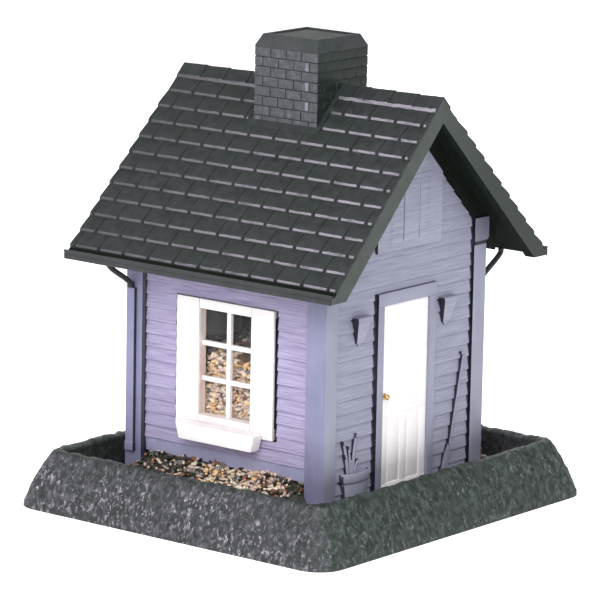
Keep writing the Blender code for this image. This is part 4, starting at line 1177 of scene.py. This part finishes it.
for reach, z in rows:
    ring = []
    for a, b in ((-1, -1), (1, -1), (1, 1), (-1, 1)):
        for k in range(8):
            nextA, nextB = {(-1, -1): (1, -1), (1, -1): (1, 1), (1, 1): (-1, 1), (-1, 1): (-1, -1)}[(a, b)]
            share = k / 8
            x = (a + (nextA - a) * share) * reach
            y = (b + (nextB - b) * share) * reach
            ring.append(crown.verts.new((x + wobble(x * 0.2, y * 0.2, z, 0.15), y + wobble(y * 0.2, x * 0.2, z + 5, 0.15), z)))
    rings.append(ring)
for lower, upper in zip(rings, rings[1:]):
    for i in range(len(lower)):
        j = (i + 1) % len(lower)
        crown.faces.new((lower[i], lower[j], upper[j], upper[i]))
crown.faces.new(rings[-1])
bmesh.ops.recalc_face_normals(crown, faces=crown.faces)
for face in crown.faces:
    face.material_index = 3 if face.normal.z > 0.99 or len(face.verts) > 4 else 2
crown.to_mesh(mesh)
crown.free()
shape.from_mesh(mesh)
addPiece("all", "chimney_bricks", shape, ["brick", "fleck", "crown", "lid"], "chimney", smooth=40)
print("chimney built")

# ---------------------------------------------------------------- tray

tray = {
    "x": trayHigh.x, "y": trayHigh.y, "corner": 18.0, "inset": 18.5, "radius": 4.0, "lean": 0.28, "step": 1.7,
    "bumps": 1.0, "chips": 0.75, "floor": 12.0, "shadeFrom": 28,
}


def rimProfile():
    crest = 35.0 - tray["radius"]
    start = math.radians(45)
    meetIn = tray["inset"] - tray["radius"] * math.cos(start)
    meetZ = crest + tray["radius"] * math.sin(start)
    bend = (meetIn - tray["lean"] * meetZ) / meetZ ** 2
    points = []
    for k in range(22):
        z = meetZ * k / 22
        points.append((tray["lean"] * z + bend * z * z, z))
    for k in range(9):
        angle = start + (math.pi - start) * k / 8
        points.append((tray["inset"] - tray["radius"] * math.cos(angle), crest + tray["radius"] * math.sin(angle)))
    inner = tray["inset"] + tray["radius"]
    for k in range(1, 9):
        points.append((inner + 3.0 * k / 8, crest - (crest - tray["floor"] - 3.0) * k / 8))
    points.append((inner + 4.0, tray["floor"] + 1.2))
    points.append((inner + 6.5, tray["floor"] + 0.35))
    return points


def loopPoints(halfX, halfY, corner, counts):
    points = []
    straight = ((1, 1, 0), (-1, 1, 90), (-1, -1, 180), (1, -1, 270))
    for number, (sideX, sideY, angle) in enumerate(straight):
        for k in range(counts[0]):
            turn = math.radians(angle + 90 * k / counts[0])
            points.append((sideX * (halfX - corner) + corner * math.cos(turn), sideY * (halfY - corner) + corner * math.sin(turn)))
        turn = math.radians(angle + 90)
        start = Vector((sideX * (halfX - corner) + corner * math.cos(turn), sideY * (halfY - corner) + corner * math.sin(turn)))
        nextX, nextY, nextAngle = straight[(number + 1) % 4]
        turn = math.radians(nextAngle)
        end = Vector((nextX * (halfX - corner) + corner * math.cos(turn), nextY * (halfY - corner) + corner * math.sin(turn)))
        count = counts[1] if number % 2 == 0 else counts[2]
        for k in range(count):
            point = start.lerp(end, k / count)
            points.append((point.x, point.y))
    return points


shape = bmesh.new()
rings = []
counts = (14, int(2 * tray["x"] / tray["step"]), int(2 * tray["y"] / tray["step"]))
for inset, z in rimProfile():
    corner = max(tray["corner"] - 0.7 * inset, 5.0)
    ring = [shape.verts.new((x, y, z)) for x, y in loopPoints(tray["x"] - inset, tray["y"] - inset, corner, counts)]
    rings.append(ring)
for number, (lower, upper) in enumerate(zip(rings, rings[1:])):
    for i in range(len(lower)):
        j = (i + 1) % len(lower)
        face = shape.faces.new((lower[i], lower[j], upper[j], upper[i]))
        # Rings from shadeFrom inward take stone_shade: painted shade on the rim's inner wall.
        face.material_index = 1 if number >= tray["shadeFrom"] else 0
bmesh.ops.recalc_face_normals(shape, faces=shape.faces)
for vert in shape.verts:
    vert.normal_update()
    p = vert.co
    stretched = Vector((p.x, p.y, p.z * 0.75))
    big = noise.noise(stretched * 0.11)
    lump = noise.noise(stretched * 0.30)
    chip = noise.voronoi(stretched * 0.34)[0][0]
    crest = max(0.0, min(1.0, (p.z - 26.0) / 8.0))
    height = 0.35 + tray["bumps"] * (0.5 * lump + 0.35 * big) + tray["chips"] * (0.55 - chip) + crest * 0.9 * (0.25 + big)
    low = min(1.0, p.z / 3.0)
    inside = abs(p.x) < tray["x"] - 22 and abs(p.y) < tray["y"] - 22
    vert.co += vert.normal * max(0.04, height * low * (0.35 if inside else 1.0))
for vert in rings[0]:
    vert.co.z = 0.05
addPiece("all", "stone_rim", shape, ["stone", "stoneShade"], smooth=60)
print("tray built")

# ---------------------------------------------------------------- seed

seedKinds = {
    "millet": (0.36, (1.15, 1.15, 1.0), ("cream", "pink", "cream", "tan")),
    "corn": (0.24, (2.3, 1.7, 1.2), ("tan", "cream", "pink")),
    "sunflower": (0.13, (4.3, 2.0, 1.3), ("striped", "brown", "striped")),
    "wheat": (0.26, (3.0, 1.2, 1.0), ("pink", "cream", "brown", "pink")),
}
seedSlots = ["cream", "tan", "pink", "brown", "striped", "shadeBed"]


def seedShapes():
    shapes = {}
    for kind, (share, size, colours) in seedKinds.items():
        variants = []
        for number in range(3):
            part = bmesh.new()
            bmesh.ops.create_icosphere(part, subdivisions=1 if kind == "millet" else 2, radius=1.0)
            for vert in part.verts:
                p = vert.co
                rough = {"corn": 0.55, "millet": 0.08}.get(kind, 0.12)
                scale = 1 + rough * noise.noise(p * 1.3 + Vector((number * 7.1, 0, 0)))
                if kind == "sunflower":
                    taper = 1 - 0.55 * max(0.0, p.x) ** 1.5 - 0.15 * max(0.0, -p.x)
                    p = Vector((p.x, p.y * taper, p.z * taper))
                if kind == "wheat":
                    p = Vector((p.x, p.y, p.z + 0.25 * p.x * p.x))
                vert.co = Vector((p.x * size[0], p.y * size[1], p.z * size[2])) * scale
            variants.append(([vert.co.copy() for vert in part.verts], [[v.index for v in f.verts] for f in part.faces]))
            part.free()
        shapes[kind] = variants
    return shapes


seedForms = seedShapes()


def seedPile(name, places, body="house", base=None, bright=False, under=5, shadedSeeds=0):
    points, faces, slots = [], [], []
    if base:
        for grid in base:
            start = len(points)
            rows, columns = len(grid), len(grid[0])
            for line in grid:
                points.extend(line)
            for i in range(rows - 1):
                for j in range(columns - 1):
                    a = start + i * columns + j
                    faces.append((a, a + 1, a + columns + 1, a + columns))
                    slots.append(under)
    names = list(seedKinds)
    weights = [seedKinds[kind][0] * (0.15 if bright and kind == "sunflower" else 1.0) for kind in names]
    for number, place in enumerate(places):
        kind = random.choices(names, weights)[0]
        verts, rings = random.choice(seedForms[kind])
        flat = random.uniform(-0.5, 0.5)
        turn = Matrix.Rotation(random.uniform(0, 2 * math.pi), 3, "Z") @ Matrix.Rotation(flat, 3, "Y")
        turn = turn @ Matrix.Rotation(random.uniform(0, 2 * math.pi), 3, "X")
        scale = random.uniform(0.85, 1.2) * (1.0 if bright else 0.84)
        start = len(points)
        for vert in verts:
            points.append(Vector(place) + turn @ (vert * scale))
        colour = random.choice(seedKinds[kind][2])
        if bright and colour != "striped" and random.random() < 0.75:
            colour = random.choice(("tan", "cream", "pink"))
        # The first shadedSeeds seeds take dark colours: painted shade in the trough.
        if number < shadedSeeds:
            colour = random.choice(("shadeBed", "shadeBed", "striped", "shadeBed", "brown"))
        slot = seedSlots.index(colour)
        for ring in rings:
            faces.append([start + i for i in ring])
            slots.append(slot)
    pile = bpy.data.meshes.new(name)
    pile.from_pydata([tuple(p * mm) if isinstance(p, Vector) else tuple(c * mm for c in p) for p in points], [], faces)
    for slot in seedSlots:
        pile.materials.append(finishes[slot])
    pile.polygons.foreach_set("material_index", slots)
    pile.shade_smooth()
    pile.update()
    made = bpy.data.objects.new(name, pile)
    bpy.context.scene.collection.objects.link(made)
    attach(made, body)
    return made


def gridOver(xs, ys, height):
    return [[Vector((x, y, height(x, y))) for x in xs] for y in ys]


def spread(low, high, count):
    return [low + (high - low) * k / (count - 1) for k in range(count)]


def hopperTop(x, y):
    return 118.0 - 0.19 * abs(y) - 0.33 * abs(x) + wobble(x * 0.05, y * 0.05, 8.0, 4.0)


paneIn = -cadBox("window_pane_front")[1].y
heap = []
for count in range(900):
    x, y = random.uniform(-69, 69), random.uniform(-68, 68)
    heap.append((x, y, hopperTop(x, y) + random.uniform(-0.6, 0.9)))
top = gridOver(spread(-71, 71, 40), spread(-69, 69, 40), hopperTop)
seedPile("seed_heap", heap, base=[top], under=3)


def windowFace(sign):
    places = []
    for count in range(1050):
        x, z = random.uniform(-25, 25), random.uniform(60, 112)
        depth = random.uniform(0.4, 3.4)
        y = sign * (paneIn - 1.6 - depth)
        if z > hopperTop(x, y) + 0.8:
            continue
        places.append((x, y, z))
    wall = []
    for z in spread(56, 110, 28):
        line = []
        for x in spread(-30, 30, 30):
            y = sign * (paneIn - 4.2)
            line.append(Vector((x, y + wobble(x, z, 1.0, 0.8), min(z, hopperTop(x, y)))))
        wall.append(line)
    return places, wall


for side, sign in (("front", -1), ("back", 1)):
    places, wall = windowFace(sign)
    seedPile("seed_behind_pane_" + side, places, base=[wall], bright=True, under=3)


def troughTop(x, y):
    away = abs(y) - 76.0
    around = max(0.0, abs(x) - 61.0)
    return max(12.6, 35.6 - 0.40 * away - 1.7 * around) + wobble(x * 0.07, y * 0.09, 6.0, 2.6)


for side, sign in (("front", -1), ("back", 1)):
    places = []
    for count in range(1150):
        x = random.uniform(-68, 68) if count < 650 else random.triangular(-66, 66, 26)
        y = sign * (74 + 35 * random.random() ** 1.1)
        lift = random.uniform(-1.4, 0.5) if count < 650 else random.uniform(-0.5, 1.2)
        places.append((x, y, troughTop(x * sign, y) + lift))
    # A near-black bed under the trough's seed: painted shade in the gaps between seeds.
    shadeBed = gridOver(spread(-78, 78, 64), [sign * y for y in spread(62, 110, 17)], lambda x, y: troughTop(x * sign, y) - 0.8)
    seedPile("seed_in_trough_" + side, places, base=[shadeBed], shadedSeeds=650)

places = []
for sign in (-1, 1):
    for count in range(46):
        x = sign * random.uniform(83, 94)
        y = sign * random.uniform(48, 104)
        places.append((x, y, 14.2 + random.uniform(0, 2.4)))
    for count in range(18):
        places.append((sign * random.uniform(83, 94), sign * random.uniform(-100, 40), 14.0))
    for count in range(60):
        places.append((sign * random.uniform(66, 93), sign * random.uniform(88, 106), 15.0 + random.uniform(0, 7)))
seedPile("seed_in_side_trough", places)
print("seed poured")

# ---------------------------------------------------------------- floor, light, camera

floor = bmesh.new()
bmesh.ops.create_grid(floor, x_segments=40, y_segments=40, size=6000)
addedFloor = bpy.data.meshes.new("floor")
bmesh.ops.transform(floor, matrix=Matrix.Scale(mm, 4), verts=floor.verts)
floor.to_mesh(addedFloor)
floor.free()
ground = bpy.data.objects.new("floor", addedFloor)
bpy.context.scene.collection.objects.link(ground)
paper = Finish("pale_floor", Roughness=0.9, Base_Color=(0.93, 0.93, 0.93, 1.0))
paper.colour(paper.ramp(paper.grain(3.0), ((0.3, (0.92, 0.92, 0.92)), (0.7, (0.94, 0.94, 0.94)))))
paper.shader.inputs["Specular IOR Level"].default_value = 0.0
paper.shader.inputs["Emission Color"].default_value = (1, 1, 1, 1)
paper.shader.inputs["Emission Strength"].default_value = 0.65
addedFloor.materials.append(paper.material)

world = bpy.data.worlds.new("studio")
bpy.context.scene.world = world
world.use_nodes = True
world.node_tree.nodes["Background"].inputs["Color"].default_value = (1.0, 1.0, 1.0, 1.0)
world.node_tree.nodes["Background"].inputs["Strength"].default_value = 0.42


def lamp(name, azimuth, elevation, distance, size, power, colour):
    light = bpy.data.lights.new(name, "AREA")
    light.energy = power
    light.size = size
    light.color = colour
    holder = bpy.data.objects.new(name, light)
    a, e = math.radians(azimuth), math.radians(elevation)
    aim = Vector((0, 0, 0.13))
    holder.location = aim + distance * Vector((math.sin(a) * math.cos(e), -math.cos(a) * math.cos(e), math.sin(e)))
    holder.rotation_euler = (aim - holder.location).to_track_quat("-Z", "Y").to_euler()
    bpy.context.scene.collection.objects.link(holder)


lamp("key", 22, 34, 1.6, 0.9, 17, (1.0, 0.985, 0.98))
lamp("fill", 74, 36, 1.8, 1.1, 10.2, (0.97, 0.98, 1.0))
lamp("far", 215, 30, 1.9, 1.2, 12, (1.0, 1.0, 1.0))
lamp("rim", -60, 25, 1.8, 0.9, 5, (0.98, 0.97, 1.0))

view = {"azimuth": 38.45, "elevation": 11.53, "roll": 1.10, "distance": 2.6162, "lens": 251.8, "aim": (0.0046, -0.0216)}
azimuth, elevation, roll = (math.radians(view[key]) for key in ("azimuth", "elevation", "roll"))
back = Vector((math.sin(azimuth) * math.cos(elevation), -math.cos(azimuth) * math.cos(elevation), math.sin(elevation)))
right = Vector((math.cos(azimuth), math.sin(azimuth), 0))
up = back.cross(right)
right, up = right * math.cos(roll) + up * math.sin(roll), up * math.cos(roll) - right * math.sin(roll)
camera = bpy.data.cameras.new("camera")
camera.lens = view["lens"]
camera.sensor_width = 36.0
camera.clip_end = 50.0
holder = bpy.data.objects.new("camera", camera)
place = Vector((0, 0, 0.15)) + back * view["distance"] - right * view["aim"][0] + up * view["aim"][1]
holder.matrix_world = Matrix.Translation(place) @ Matrix((right, up, back)).transposed().to_4x4()
bpy.context.scene.collection.objects.link(holder)
bpy.context.scene.camera = holder
bpy.context.scene.view_settings.view_transform = "Standard"

print("scene ready")
